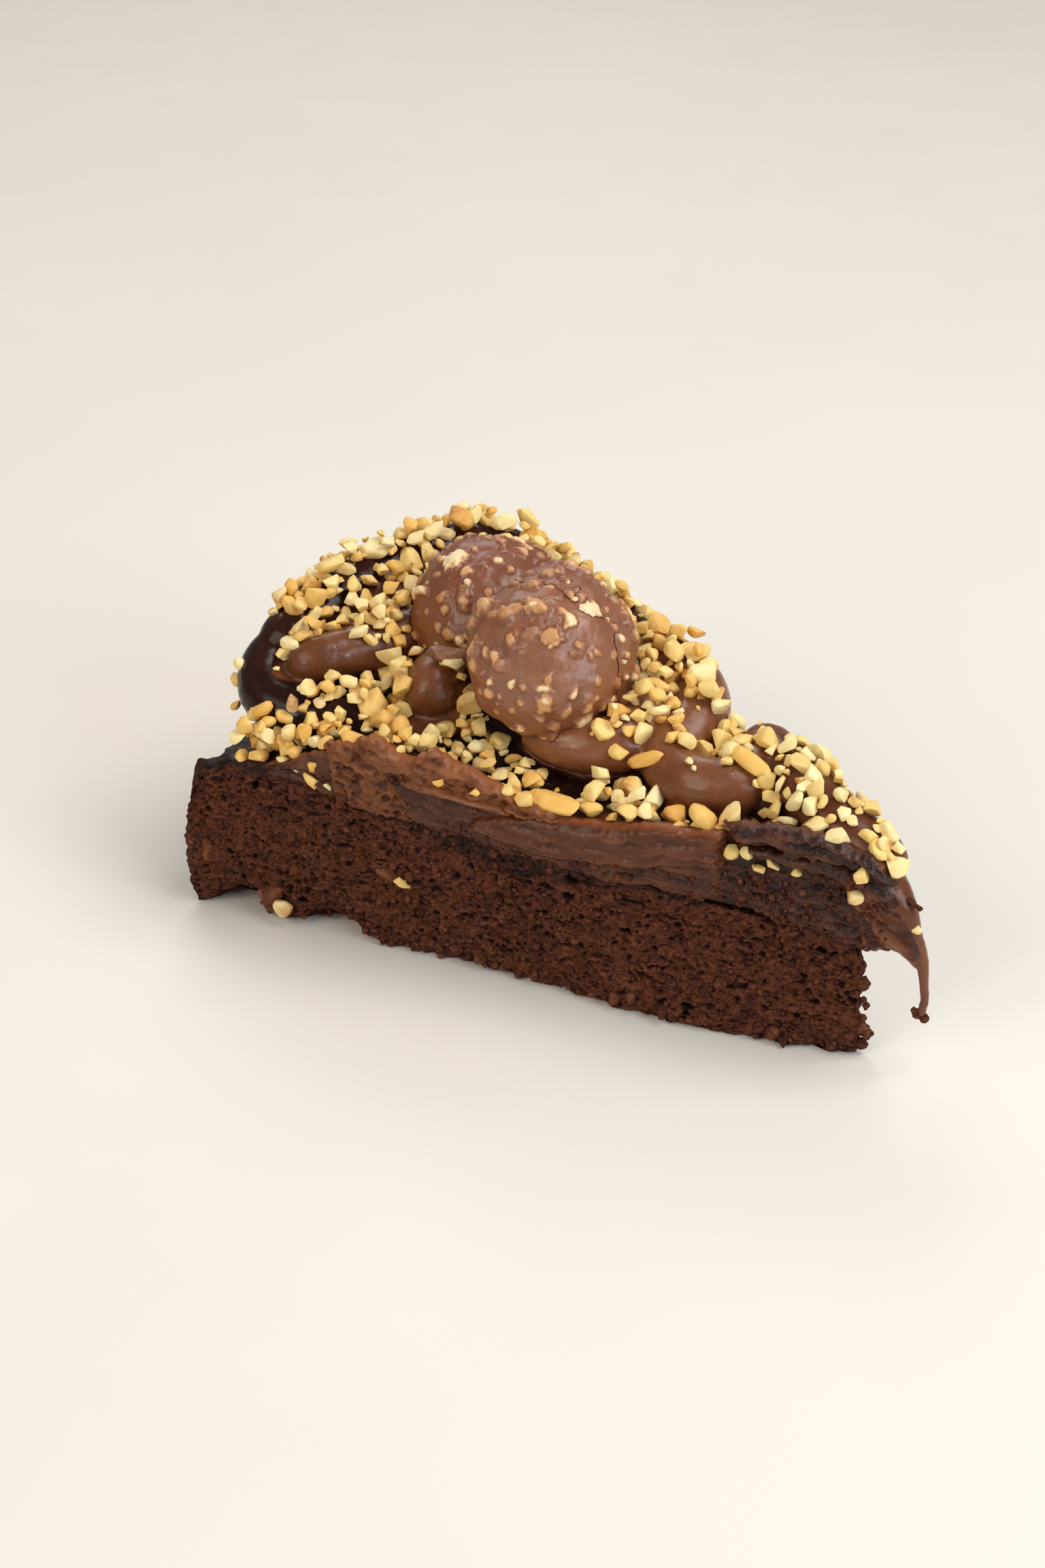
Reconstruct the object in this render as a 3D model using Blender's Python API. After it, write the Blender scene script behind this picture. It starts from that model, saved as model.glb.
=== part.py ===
"""A slice of round chocolate brownie cake: a dipped brownie wedge, a dark glaze, piped frosting with
chopped nuts pressed into it, and three broken pieces of a nut praline's shell on top.

Places are written in the slice's own directions: "along" runs down the long near cut from the crust
corner to the tip, "across" runs from the near cut towards the far one, and "height" is above the base.
The object's frame has the same directions, with its origin under the middle of the slice.
"""

import itertools
import math
import random

import bmesh
import bpy
import numpy as np
from mathutils import Euler, Matrix, Vector, noise
from mathutils.bvhtree import BVHTree

# The cake that the slice was cut from, in metres.
CAKE_RADIUS = 0.130
SLICE_ANGLE = math.radians(40)
TIP_BLUNT = 0.0014
ORIGIN_ALONG = 0.07031
ORIGIN_ACROSS = 0.03994

# How finely the layers are divided: rings towards the middle, and steps along the cuts and the crust.
INNER_RINGS = (0.955, 0.87, 0.70, 0.38)
SIDE_STEPS = 24
ARC_STEPS = 14
WALL_LEVELS = 6

# Layers, from the base up.
BROWNIE_AT_TIP = 0.0205
BROWNIE_AT_RIM = 0.0305
CRUST_ROUNDING = 0.0035
CUT_ROUGHNESS = 0.0009
CRUST_ROUGHNESS = 0.0004
GLAZE = 0.0028
GLAZE_AT_RIM = 0.0012
GAP = 0.0004
SHELL_GAP = 0.0006
COAT_HEIGHT = 0.0365
COAT_AT_REAR = 0.0055
COAT_RIM_INSET = 0.0085

# The frosting's rope, and how finely it is modelled.
ROPE = 0.0058
ROPE_STEP = 0.0016
VOXEL = 0.0006
FROSTING_TRIANGLES = 2900

# Chopped nuts that are large enough to show from a step away.
NUT_COUNT = 165
NUT_SEED = 11
NUT_SIZE = 0.0050
NUT_SMALLEST = 0.0030
NUT_THICKEST = 0.0032
NUT_PROUD = 0.20

# The praline's shell: its ball, how finely and how raggedly its pieces are made, and their hollowed backs.
PRALINE_RADIUS = 0.0154
PRALINE_STEPS = 26
PRALINE_RINGS = 7
PRALINE_RAGGED = 9
BACK_RIM = 0.72
BACK_DEPTH = 0.22

COLOURS = {
    "brownie": ((0.060, 0.022, 0.012), 0.85),
    "glaze": ((0.018, 0.009, 0.007), 0.30),
    "frosting": ((0.070, 0.027, 0.016), 0.30),
    "praline": ((0.150, 0.062, 0.034), 0.35),
}


# ---------------------------------------------------------------- the slice's plan and its layers

def place(along, across, height):
    """A point of the slice's own directions in the object's frame."""
    return Vector((along - ORIGIN_ALONG, across - ORIGIN_ACROSS, height))


def smooth_step(low, high, value):
    share = min(1.0, max(0.0, (value - low) / (high - low)))
    return share * share * (3 - 2 * share)


def bump(value, middle, width):
    return math.exp(-(((value - middle) / width) ** 2))


def reach(along, across):
    """Distance from the cake's centre, which is the slice's tip."""
    return math.hypot(CAKE_RADIUS - along, across)


def flat_base(along, across):
    return 0.0


def brownie_top(along, across):
    """The brownie sank towards the middle of the cake, and its rim is rounded."""
    distance = reach(along, across)
    rise = smooth_step(0.022, 0.112, distance)
    rim = smooth_step(CAKE_RADIUS - 0.014, CAKE_RADIUS, distance)
    return BROWNIE_AT_TIP + (BROWNIE_AT_RIM - BROWNIE_AT_TIP) * rise - CRUST_ROUNDING * rim


def glaze_floor(along, across):
    return brownie_top(along, across) + GAP


def glaze_top(along, across):
    rim = smooth_step(CAKE_RADIUS - 0.020, CAKE_RADIUS - 0.003, reach(along, across))
    return glaze_floor(along, across) + GLAZE + (GLAZE_AT_RIM - GLAZE) * rim


def frosting_floor(along, across):
    return glaze_top(along, across) + GAP


def coat_top(along, across):
    """The spread coat stands higher beside the praline, lower in front of it and highest at the rear."""
    near = math.exp(-across / 0.02)
    swell = 0.0045 * bump(along, 0.040, 0.018) - 0.0022 * bump(along, 0.073, 0.010)
    rear = COAT_AT_REAR * smooth_step(0.008, 0.026, across) * smooth_step(0.045, 0.075, reach(along, across))
    rim = 0.0035 * smooth_step(0.100, 0.125, reach(along, across))
    return COAT_HEIGHT + swell * near + rear - rim


def wedge_outline(inset, radius, count_side=SIDE_STEPS, count_arc=ARC_STEPS):
    """The slice's plan as (point, outward normal): near cut, crust, far cut and blunt tip."""
    far = Vector((-math.cos(SLICE_ANGLE), math.sin(SLICE_ANGLE)))
    far_normal = Vector((math.sin(SLICE_ANGLE), math.cos(SLICE_ANGLE)))
    near_normal = Vector((0.0, -1.0))
    tip = Vector((CAKE_RADIUS, 0.0))
    start = TIP_BLUNT + inset / math.tan(SLICE_ANGLE / 2)
    points = []
    for i in range(count_side):
        distance = start + (radius - start) * i / count_side
        points.append((tip + Vector((-distance, inset)), near_normal))
    low_angle = math.asin(inset / radius)
    for i in range(count_arc + 1):
        angle = low_angle + (SLICE_ANGLE - 2 * low_angle) * i / count_arc
        normal = Vector((-math.cos(angle), math.sin(angle)))
        points.append((tip + normal * radius, normal))
    for i in range(count_side - 1, -1, -1):
        distance = start + (radius - start) * i / count_side
        points.append((tip + far * distance - far_normal * inset, far_normal))
    return points


def no_relief(point, normal, height):
    return 0.0


def bridge(mesh, outer, inner):
    """Joins two rings by triangles, split alike wherever two layers meet."""
    for i in range(len(outer)):
        j = (i + 1) % len(outer)
        mesh.faces.new((outer[i], outer[j], inner[j]))
        mesh.faces.new((outer[i], inner[j], inner[i]))


def close_ring(mesh, ring, middle):
    for i, corner in enumerate(ring):
        mesh.faces.new((corner, ring[(i + 1) % len(ring)], middle))


def layer_solid(name, outline, floor_of, roof_of, levels, relief):
    """A closed layer over the outline: walls of several levels, and a floor and a roof of inner rings."""
    mesh = bmesh.new()
    centre = sum((p for p, _ in outline), Vector((0.0, 0.0))) / len(outline)
    rings = []
    for level in range(levels + 1):
        share = level / levels
        ring = []
        for point, normal in outline:
            low, high = floor_of(*point), roof_of(*point)
            height = low + (high - low) * share
            moved = point + normal * relief(point, normal, height)
            ring.append(mesh.verts.new(place(*moved, height if share < 1 else roof_of(*moved))))
        rings.append(ring)
    for lower, upper in zip(rings, rings[1:]):
        bridge(mesh, lower, upper)
    for outer, height_of in ((rings[0], floor_of), (rings[-1], roof_of)):
        for shrink in () if height_of is flat_base else INNER_RINGS:
            plan = [centre + (p - centre) * shrink for p, _ in outline]
            inner = [mesh.verts.new(place(*p, height_of(*p))) for p in plan]
            bridge(mesh, outer, inner)
            outer = inner
        close_ring(mesh, outer, mesh.verts.new(place(*centre, height_of(*centre))))
    bmesh.ops.recalc_face_normals(mesh, faces=mesh.faces)
    return add_object(name, mesh)


# ---------------------------------------------------------------- objects, materials and modifiers

def add_object(name, mesh_or_bmesh):
    if isinstance(mesh_or_bmesh, bmesh.types.BMesh):
        data = bpy.data.meshes.new(name)
        mesh_or_bmesh.to_mesh(data)
        mesh_or_bmesh.free()
    else:
        data = mesh_or_bmesh
    made = bpy.data.objects.new(name, data)
    bpy.context.scene.collection.objects.link(made)
    return made


def paint(piece, look):
    colour, roughness = COLOURS[look]
    material = bpy.data.materials.get(look) or bpy.data.materials.new(look)
    material.use_nodes = True
    shader = material.node_tree.nodes["Principled BSDF"]
    shader.inputs["Base Color"].default_value = (*colour, 1.0)
    shader.inputs["Roughness"].default_value = roughness
    shader.inputs["Metallic"].default_value = 0.0
    piece.data.materials.clear()
    piece.data.materials.append(material)


def apply_modifiers(piece):
    """Bakes the object's modifiers into its mesh."""
    graph = bpy.context.evaluated_depsgraph_get()
    graph.update()
    piece.data = bpy.data.meshes.new_from_object(piece.evaluated_get(graph))
    piece.modifiers.clear()


def join_meshes(name, pieces):
    mesh = bmesh.new()
    for piece in pieces:
        mesh.from_mesh(piece.data)
        bpy.data.objects.remove(piece)
    return add_object(name, mesh)


def cut(piece, cutter):
    modifier = piece.modifiers.new("cut", "BOOLEAN")
    modifier.operation = "DIFFERENCE"
    modifier.object = cutter
    apply_modifiers(piece)
    bpy.data.objects.remove(cutter)


def thin_out(piece, triangles):
    piece.data.calc_loop_triangles()
    modifier = piece.modifiers.new("thin_out", "DECIMATE")
    modifier.ratio = min(1.0, triangles / len(piece.data.loop_triangles))
    modifier.use_collapse_triangulate = True
    apply_modifiers(piece)


def grown_copy(piece):
    """The piece, a little larger all round, as a cutter that leaves a gap."""
    mesh = bmesh.new()
    mesh.from_mesh(piece.data)
    mesh.normal_update()
    for vertex, normal in [(v, v.normal.copy()) for v in mesh.verts]:
        vertex.co += normal * SHELL_GAP
    return add_object(piece.name + "_cutter", mesh)


# ---------------------------------------------------------------- brownie and glaze

def crumb_relief(point, normal, height):
    """Torn crumb on the two cuts, a crust that bulges a little, a near cut that bows out towards its
    base, and an undercut where the near corner's base tore away."""
    on_crust = reach(*point) > CAKE_RADIUS - 0.002
    rough = CRUST_ROUGHNESS if on_crust else CUT_ROUGHNESS
    spot = Vector((point.x, point.y, height * 1.7)) / 0.004
    relief = rough * (noise.noise(spot) + 0.5 * noise.noise(spot * 2.3))
    share = height / brownie_top(*point)
    if on_crust:
        relief += 0.0012 * math.sin(math.pi * share) - 0.0026 * share ** 4
    if normal.y < -0.5:
        relief += 0.0040 * bump(point.x, 0.097, 0.027) * (1 - share)
        relief -= 0.0055 * bump(point.x, 0.0100, 0.0055) * bump(height, 0, 0.0050)
        relief -= 0.0050 * bump(point.x, 0.0280, 0.0050) * bump(height, 0, 0.0040)
    return relief


def edge_relief(point, normal, height):
    """What the brownie's top edge has, at any height."""
    return crumb_relief(point, normal, brownie_top(*point))


def make_brownie():
    outline = wedge_outline(0.0, CAKE_RADIUS)
    paint(layer_solid("brownie", outline, flat_base, brownie_top, WALL_LEVELS, crumb_relief), "brownie")


def make_glaze():
    """The glaze covers the whole top and is cut flush with the brownie."""
    outline = wedge_outline(0.0, CAKE_RADIUS)
    paint(layer_solid("glaze", outline, glaze_floor, glaze_top, 1, edge_relief), "glaze")


# ---------------------------------------------------------------- frosting

# Each rope's centre line as (along, across, height in mm, thickness as a share of ROPE).
ROPES = {
    "rim_lower": [
        (12, 12, 37, 0.95), (12, 22, 37.5, 1.05), (14.5, 31, 38, 1.1), (20, 45, 38, 1.1), (27, 59.5, 38.5, 1.1),
        (35, 67, 38.5, 1.05), (45, 64.5, 39, 1.0), (56, 56, 40, 1.0), (66, 47.5, 40.5, 1.0),
    ],
    "rim_upper": [
        (10.5, 17, 45, 0.9), (11, 25, 46.5, 1.0), (14, 34, 48, 1.05), (19, 46, 49.3, 1.05), (26, 57, 49.8, 1.05),
        (34.5, 63, 49, 1.05), (44, 61, 47.5, 1.05), (54, 55.5, 46.5, 1.0), (64, 49, 45.5, 1.0), (73, 42.5, 45.5, 0.95),
    ],
    "corner_turn": [
        (11, 24, 46, 0.9), (9.5, 16.5, 44, 0.9), (11.5, 11.5, 41.5, 0.85), (18, 10.5, 39.5, 0.85),
        (27, 12.5, 39, 0.8), (34, 15, 38.5, 0.7),
    ],
    "left_nose": [
        (14.5, 13, 46, 0.68), (20, 18, 46.3, 0.85), (29, 27, 46, 0.95), (37, 37, 46, 1.0), (40, 47, 46.5, 1.0),
        (34, 52, 47, 1.0), (26, 46, 47, 1.0), (22, 36, 46.5, 0.9),
    ],
    "middle_lobe": [
        (41, 16.5, 39.5, 0.95), (40, 23, 41.5, 1.0), (43, 33, 42, 1.0), (51, 41, 42, 1.0), (60, 39, 42, 1.0),
        (66, 30, 41, 0.9),
    ],
    "praline_bed": [(36, 42, 46, 1.1), (44, 41, 49, 1.35), (54, 37, 49, 1.35), (62, 33, 47.5, 1.2), (70, 30, 45, 1.0)],
    "pulled_end": [
        (61, 13.5, 39.5, 0.2), (66, 12, 40.5, 0.7), (73, 12, 41, 0.95), (80, 17, 41.5, 1.0), (80, 28, 42, 1.0),
        (76, 37, 43.5, 1.0), (71, 43, 44.5, 0.95),
    ],
    "far_foot": [
        (70, 40, 40, 0.9), (84, 32.5, 39, 0.9), (96, 24, 38.5, 0.9), (108, 14.5, 37.5, 0.9), (120, 6, 35.5, 0.9),
    ],
    "zigzag": [
        (73, 41, 45, 0.9), (80, 39, 45.5, 1.0), (86, 34.5, 44, 1.0), (88.8, 27, 42.3, 1.0), (87.5, 18, 41, 0.95),
        (88.5, 11.5, 39.5, 0.95), (95, 8, 39, 1.0), (102, 9, 39.8, 0.95), (104.5, 16, 40.8, 0.9), (101, 22, 41, 0.9),
    ],
    "tip_run": [
        (98, 24.5, 41, 0.8), (103.5, 23.5, 41.5, 0.9), (110, 16.5, 41.5, 0.95), (116.5, 11, 40.7, 0.95),
        (123.5, 6.8, 38.8, 0.95), (130, 4.6, 36.5, 0.9), (134.6, 2.8, 34, 0.8),
    ],
    "tip_drip": [
        (125, 4, 33.5, 0.85), (131, 3, 32.4, 0.9), (135, 2, 30.2, 0.8), (137.6, 1.4, 26.2, 0.5),
        (139.6, 1.1, 21.5, 0.27), (140.4, 1.0, 17, 0.19), (140.7, 1.0, 13, 0.18), (140.6, 1.0, 9.2, 0.16),
    ],
}


def smooth_path(points, step):
    """Points every step or so on a smooth curve through the given ones (Catmull-Rom)."""
    knots = [np.array(p, float) for p in points]
    knots = [2 * knots[0] - knots[1]] + knots + [2 * knots[-1] - knots[-2]]
    path = []
    for a, b, c, d in zip(knots, knots[1:], knots[2:], knots[3:]):
        count = max(2, round(float(np.linalg.norm((c - b)[:3])) / step))
        for i in range(count):
            t = i / count
            path.append(0.5 * (2 * b + (c - a) * t + (2 * a - 5 * b + 4 * c - d) * t * t
                               + (3 * b - 3 * c + d - a) * t ** 3))
    path.append(knots[-2])
    return path


def rope(name, points):
    """A round rope of frosting along the path, with domed ends."""
    metres = [(x / 1000, y / 1000, z / 1000, share) for x, y, z, share in points]
    path = smooth_path(metres, ROPE_STEP)
    lengths = [0.0]
    for a, b in zip(path, path[1:]):
        lengths.append(lengths[-1] + float(np.linalg.norm((b - a)[:3])))
    curve = bpy.data.curves.new(name, "CURVE")
    curve.dimensions = "3D"
    curve.bevel_depth = 1.0
    curve.bevel_resolution = 4
    curve.use_fill_caps = True
    spline = curve.splines.new("POLY")
    spline.points.add(len(path) - 1)
    for point, knot, length in zip(spline.points, path, lengths):
        radius = ROPE * float(knot[3])
        from_end = min(length, lengths[-1] - length)
        dome = math.sqrt(max(0.05, 1 - (1 - min(1.0, from_end / radius)) ** 2))
        point.co = (*place(*knot[:3]), 1.0)
        point.radius = radius * dome
    made = bpy.data.objects.new(name, curve)
    bpy.context.scene.collection.objects.link(made)
    tube = bpy.data.meshes.new_from_object(made)
    bpy.data.objects.remove(made)
    return add_object(name, tube)


def coat_outline():
    """The coat covers the glaze but for the crust corner beside the near cut."""
    kept = []
    for point, normal in wedge_outline(0.0004, CAKE_RADIUS - COAT_RIM_INSET):
        corner = smooth_step(0.034, 0.012, point.x) * smooth_step(0.030, 0.0, point.y)
        kept.append((point + Vector((0.003, 0.006)) * corner, normal))
    return kept


def make_frosting(pralines):
    """Coat and ropes melt into one body, which makes room for the praline and lies on the glaze."""
    coat = layer_solid("coat", coat_outline(), frosting_floor, coat_top, 5, no_relief)
    frosting = join_meshes("frosting", [coat] + [rope(name, points) for name, points in ROPES.items()])
    melt = frosting.modifiers.new("melt", "REMESH")
    melt.mode = "VOXEL"
    melt.voxel_size = VOXEL
    soften = frosting.modifiers.new("soften", "SMOOTH")
    soften.iterations = 6
    apply_modifiers(frosting)
    thin_out(frosting, FROSTING_TRIANGLES)
    for piece in pralines:
        cut(frosting, grown_copy(piece))
    below = layer_solid("below", wedge_outline(0.0, CAKE_RADIUS), flat_base, frosting_floor, 1, edge_relief)
    cut(frosting, below)
    return frosting


# ---------------------------------------------------------------- nuts

# Spots (along, across, radius in mm) where the ropes' flanks stay bare of nuts.
BARE_SPOTS = [
    (16, 12, 5), (22, 19, 3.5), (42, 12, 5.5), (72, 9, 6), (94, 10, 7), (103, 7, 5), (92, 33, 4),
    (91, 23, 4), (127, 3, 3), (138, 2, 7), (7, 12, 5),
]

# Nuts that are much larger than the rest: (along, across, longest side in mm).
LARGE_NUTS = [
    (76, 2.2, 10), (107.5, 13, 7.8), (87, 15.5, 7.5), (85, 37, 6.2), (81, 27, 6.6), (93, 2, 6.6), (99, 2, 6.8),
    (33, 12, 8),
]


def inside_slice(along, across):
    far = math.sin(SLICE_ANGLE) * (CAKE_RADIUS - along) - math.cos(SLICE_ANGLE) * across
    return across > 0.0012 and far > -0.001 and reach(along, across) < CAKE_RADIUS - 0.004


def near_any(along, across, spots, share, extra):
    return any(math.hypot(along - a, across - b) < share * r + extra for a, b, r in spots)


def nut_spots(count):
    """(along, across, size) for each nut, the largest first, clear of each other and of the ropes' bare
    flanks, and densest towards the rear."""
    draw = random.Random(NUT_SEED)
    bare = [(a / 1000, b / 1000, r / 1000) for a, b, r in BARE_SPOTS]
    spots = [(a / 1000, b / 1000, size / 1000) for a, b, size in LARGE_NUTS]
    size, tries = NUT_SIZE, 0
    while len(spots) < count:
        tries += 1
        if tries % 40 == 0:
            size = max(NUT_SMALLEST, size * 0.985)
        along, across = draw.uniform(0.0, 0.136), draw.uniform(0.0, 0.088)
        width = size * draw.uniform(0.8, 1.2)
        sparse = draw.random() > 0.6 + 0.4 * smooth_step(0.085, 0.045, along)
        if sparse or not inside_slice(along, across) or near_any(along, across, bare, 1.0, 0.0):
            continue
        if near_any(along, across, spots, 0.45, 0.45 * width):
            continue
        spots.append((along, across, width))
    return spots


def nut_mesh(draw, size):
    """A chopped piece of nut: a skewed block with its corners out of true."""
    mesh = bmesh.new()
    half = Vector((0.46, draw.uniform(0.30, 0.42), draw.uniform(0.26, 0.36))) * size
    half.z = min(half.z, NUT_THICKEST / 2)
    for signs in itertools.product((-1, 1), repeat=3):
        corner = [sign * side * draw.uniform(0.55, 1.0) for sign, side in zip(signs, half)]
        mesh.verts.new(corner)
    bmesh.ops.convex_hull(mesh, input=mesh.verts)
    bmesh.ops.recalc_face_normals(mesh, faces=mesh.faces)
    return mesh


def drop_scraps(piece):
    """Keeps only the piece's largest body."""
    mesh = bmesh.new()
    mesh.from_mesh(piece.data)
    left = set(mesh.verts)
    bodies = []
    while left:
        front = [left.pop()]
        body = set(front)
        while front:
            for edge in front.pop().link_edges:
                for vertex in edge.verts:
                    if vertex in left:
                        left.discard(vertex)
                        body.add(vertex)
                        front.append(vertex)
        bodies.append(body)
    bodies.sort(key=len)
    bmesh.ops.delete(mesh, geom=[v for body in bodies[:-1] for v in body], context="VERTS")
    mesh.to_mesh(piece.data)
    mesh.free()


def add_nuts(frosting):
    """Presses each nut into the surface below its spot, clear of the praline, then fuses them all to
    the frosting."""
    balls = [place(*(size / 1000 for size in middle)) for middle, _, _ in PRALINE_PIECES.values()]
    surface = BVHTree.FromPolygons([v.co for v in frosting.data.vertices],
                                   [p.vertices for p in frosting.data.polygons])
    nuts = bpy.data.collections.new("nuts")
    for index, (along, across, size) in enumerate(nut_spots(NUT_COUNT)):
        draw = random.Random(NUT_SEED * 1000 + index)
        mesh = nut_mesh(draw, size)
        turn = Euler((draw.uniform(-0.4, 0.4), draw.uniform(-0.4, 0.4), draw.uniform(0, math.tau)))
        hit, normal, _, _ = surface.ray_cast(place(along, across, 0.09), Vector((0, 0, -1)))
        centre = hit + normal * min(size, NUT_THICKEST) * NUT_PROUD if hit else None
        if not hit or hit.z < frosting_floor(along, across) + 0.001 or \
                any((centre - ball).length < PRALINE_RADIUS + 0.6 * size for ball in balls):
            mesh.free()
            continue
        tilt = Vector((0, 0, 1)).rotation_difference(normal).to_matrix()
        matrix = Matrix.Translation(centre) @ (tilt @ turn.to_matrix()).to_4x4()
        bmesh.ops.transform(mesh, verts=mesh.verts, matrix=matrix)
        nut = add_object(f"nut_{index}", mesh)
        bpy.context.scene.collection.objects.unlink(nut)
        nuts.objects.link(nut)
    fuse = frosting.modifiers.new("fuse", "BOOLEAN")
    fuse.operation = "UNION"
    fuse.operand_type = "COLLECTION"
    fuse.collection = nuts
    fuse.solver = "MANIFOLD"
    apply_modifiers(frosting)
    for nut in list(nuts.objects):
        bpy.data.objects.remove(nut)
    bpy.data.collections.remove(nuts)
    drop_scraps(frosting)


# ---------------------------------------------------------------- praline

# Each piece of shell: middle of its ball (along, across, height in mm), where it faces (azimuth from
# the along direction, and rise above level, in degrees), and how far its edge is from its crown (degrees).
PRALINE_PIECES = {
    "praline_front": ((63.2, 20.9, 53.2), (-64, 38), 80),
    "praline_back": ((45.3, 37.3, 50.5), (-112, 60), 75),
    "praline_side": ((61.8, 25.6, 52.2), (-30, 42), 76),
}


def make_shell(name):
    """A domed piece of the praline with an uneven broken edge and a hollowed back."""
    (along, across, height), (azimuth, rise), edge = PRALINE_PIECES[name]
    mesh = bmesh.new()
    shift = Vector((len(name) * 1.7, 3.1, 0.4))
    crown = mesh.verts.new((0, 0, PRALINE_RADIUS))
    rings = []
    for ring_index in range(1, PRALINE_RINGS + 1):
        ring = []
        for step in range(PRALINE_STEPS):
            turn = math.tau * step / PRALINE_STEPS
            ragged = noise.noise(Vector((math.cos(turn), math.sin(turn), 0)) * 2.2 + shift)
            polar = math.radians(edge + PRALINE_RAGGED * ragged) * ring_index / PRALINE_RINGS
            way = Vector((math.sin(polar) * math.cos(turn), math.sin(polar) * math.sin(turn), math.cos(polar)))
            dent = 1 + 0.030 * noise.noise(way * 3.5 + shift)
            ring.append(mesh.verts.new(way * PRALINE_RADIUS * dent))
        rings.append(ring)
    for outer, inner in zip(rings[1:], rings):
        bridge(mesh, outer, inner)
    close_ring(mesh, rings[0], crown)
    back_ring = [mesh.verts.new(v.co * BACK_RIM) for v in rings[-1]]
    bridge(mesh, rings[-1], back_ring)
    close_ring(mesh, back_ring, mesh.verts.new((0, 0, PRALINE_RADIUS * BACK_DEPTH)))
    bmesh.ops.recalc_face_normals(mesh, faces=mesh.faces)
    azimuth, rise = math.radians(azimuth), math.radians(rise)
    facing = Vector((math.cos(azimuth) * math.cos(rise), math.sin(azimuth) * math.cos(rise), math.sin(rise)))
    turned = Vector((0, 0, 1)).rotation_difference(facing).to_matrix().to_4x4()
    centre = place(along / 1000, across / 1000, height / 1000)
    bmesh.ops.transform(mesh, verts=mesh.verts, matrix=Matrix.Translation(centre) @ turned)
    return add_object(name, mesh)


def make_pralines():
    """The front piece lies whole against the two behind it, which give way where they would meet it."""
    front, back, side = [make_shell(name) for name in PRALINE_PIECES]
    cut(back, grown_copy(front))
    cut(side, grown_copy(front))
    cut(side, grown_copy(back))
    for piece in (front, back, side):
        paint(piece, "praline")
    return [front, back, side]


def main():
    for old in list(bpy.data.objects):
        bpy.data.objects.remove(old)
    make_brownie()
    make_glaze()
    pralines = make_pralines()
    frosting = make_frosting(pralines)
    add_nuts(frosting)
    paint(frosting, "frosting")


main()
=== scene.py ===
"""The looks of the slice of chocolate brownie cake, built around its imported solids.

Places are written in the slice's own directions: "along" runs down the long near cut from the crust
corner to the tip, "across" runs from the near cut towards the far one, and "height" is above the base.
The frame has the same directions, with its origin under the middle of the slice. Lists of places are in
millimetres, and everything else is in metres.
"""

import itertools
import math
import random

import bmesh
import bpy
import numpy as np
from mathutils import Euler, Matrix, Vector, noise
from mathutils.bvhtree import BVHTree


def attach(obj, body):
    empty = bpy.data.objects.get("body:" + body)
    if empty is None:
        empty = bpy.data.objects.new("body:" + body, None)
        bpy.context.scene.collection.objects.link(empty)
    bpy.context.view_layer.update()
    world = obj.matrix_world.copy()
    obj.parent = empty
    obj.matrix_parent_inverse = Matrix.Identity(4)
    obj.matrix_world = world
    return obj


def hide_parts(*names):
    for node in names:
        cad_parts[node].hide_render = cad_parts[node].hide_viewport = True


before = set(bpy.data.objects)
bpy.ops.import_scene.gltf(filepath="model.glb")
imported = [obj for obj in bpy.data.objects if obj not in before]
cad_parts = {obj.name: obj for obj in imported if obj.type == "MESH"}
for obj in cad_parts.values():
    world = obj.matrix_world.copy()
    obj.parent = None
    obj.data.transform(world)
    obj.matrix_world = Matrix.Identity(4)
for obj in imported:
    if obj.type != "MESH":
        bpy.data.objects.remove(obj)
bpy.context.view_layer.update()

MM = 0.001

# The cake that the slice was cut from, and its layers, as the solids have them.
CAKE_RADIUS = 0.13
SLICE_ANGLE = math.radians(40)
TIP_BLUNT = 0.0014
ORIGIN_ALONG = 0.07031
ORIGIN_ACROSS = 0.03994
BROWNIE_AT_TIP = 0.0205
BROWNIE_AT_RIM = 0.0305
CRUST_ROUNDING = 0.0035
CUT_ROUGHNESS = 0.0009
CRUST_ROUGHNESS = 0.0004
GLAZE = 0.0028
GLAZE_AT_RIM = 0.0012
GAP = 0.0004
SHELL_GAP = 0.00012
COAT_HEIGHT = 0.0365
COAT_AT_REAR = 0.0055
COAT_RIM_INSET = 0.0085
ROPE = 0.0058
ROPE_STEP = 0.0012

# How finely the scene's own surfaces are made. The rings of a floor or roof are shares of its rim's size.
NEAR_STEPS = 460
ARC_STEPS = 140
FAR_STEPS = 220
COAT_STEPS = (120, 60, 120)
COAT_ROWS = 10
SOFTENING = 5
WALL_ROWS = 100
GLAZE_ROWS = 12
CAP_RINGS = (0.985, 0.955, 0.87, 0.7, 0.38)
GLAZE_RINGS = (0.992, 0.984, 0.976, 0.967, 0.957, 0.946, 0.934, 0.92, 0.905, 0.888, 0.87, 0.84, 0.8, 0.7,
               0.38)
VOXEL = 0.00052
SMEAR_STEP = 0.00034

# Nuts, the first of which are the ones that the frosting's solid carries.
SOLID_NUTS = 165
NUT_SEED = 11
NUT_SIZE = 0.005
NUT_SMALLEST = 0.003
NUT_THICKEST = 0.0032
NUT_PROUD = 0.2
NUT_KINDS = 90
OVERHANG = 0.001
SHARP_ANGLE = math.radians(38)

# The praline's shell.
PRALINE_RADIUS = 0.0154
PRALINE_STEPS = 200
PRALINE_RINGS = 76
PRALINE_RAGGED = 9
BACK_RIM = 0.72
BACK_DEPTH = 0.22

# Seeds of the noises and the draws.
WARP_SEED = 5
LUMP_SEED = 6
PORE_SEED = 21
BASE_SEED = 31
FOOT_SEED = 33
GLAZE_SEED = 41
CRINKLE_SEED = 51
DRAG_SEED = 52
CHIP_SEED = 5
CHIP_ROUGH_SEED = 57
CRUMB_SEED = 91
CRUMB_LUMP_SEED = 92


# ---------------------------------------------------------------- numbers and noise

def smooth_step(low, high, value):
    share = np.clip((value - low) / (high - low), 0.0, 1.0)
    return share * share * (3 - 2 * share)


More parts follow.
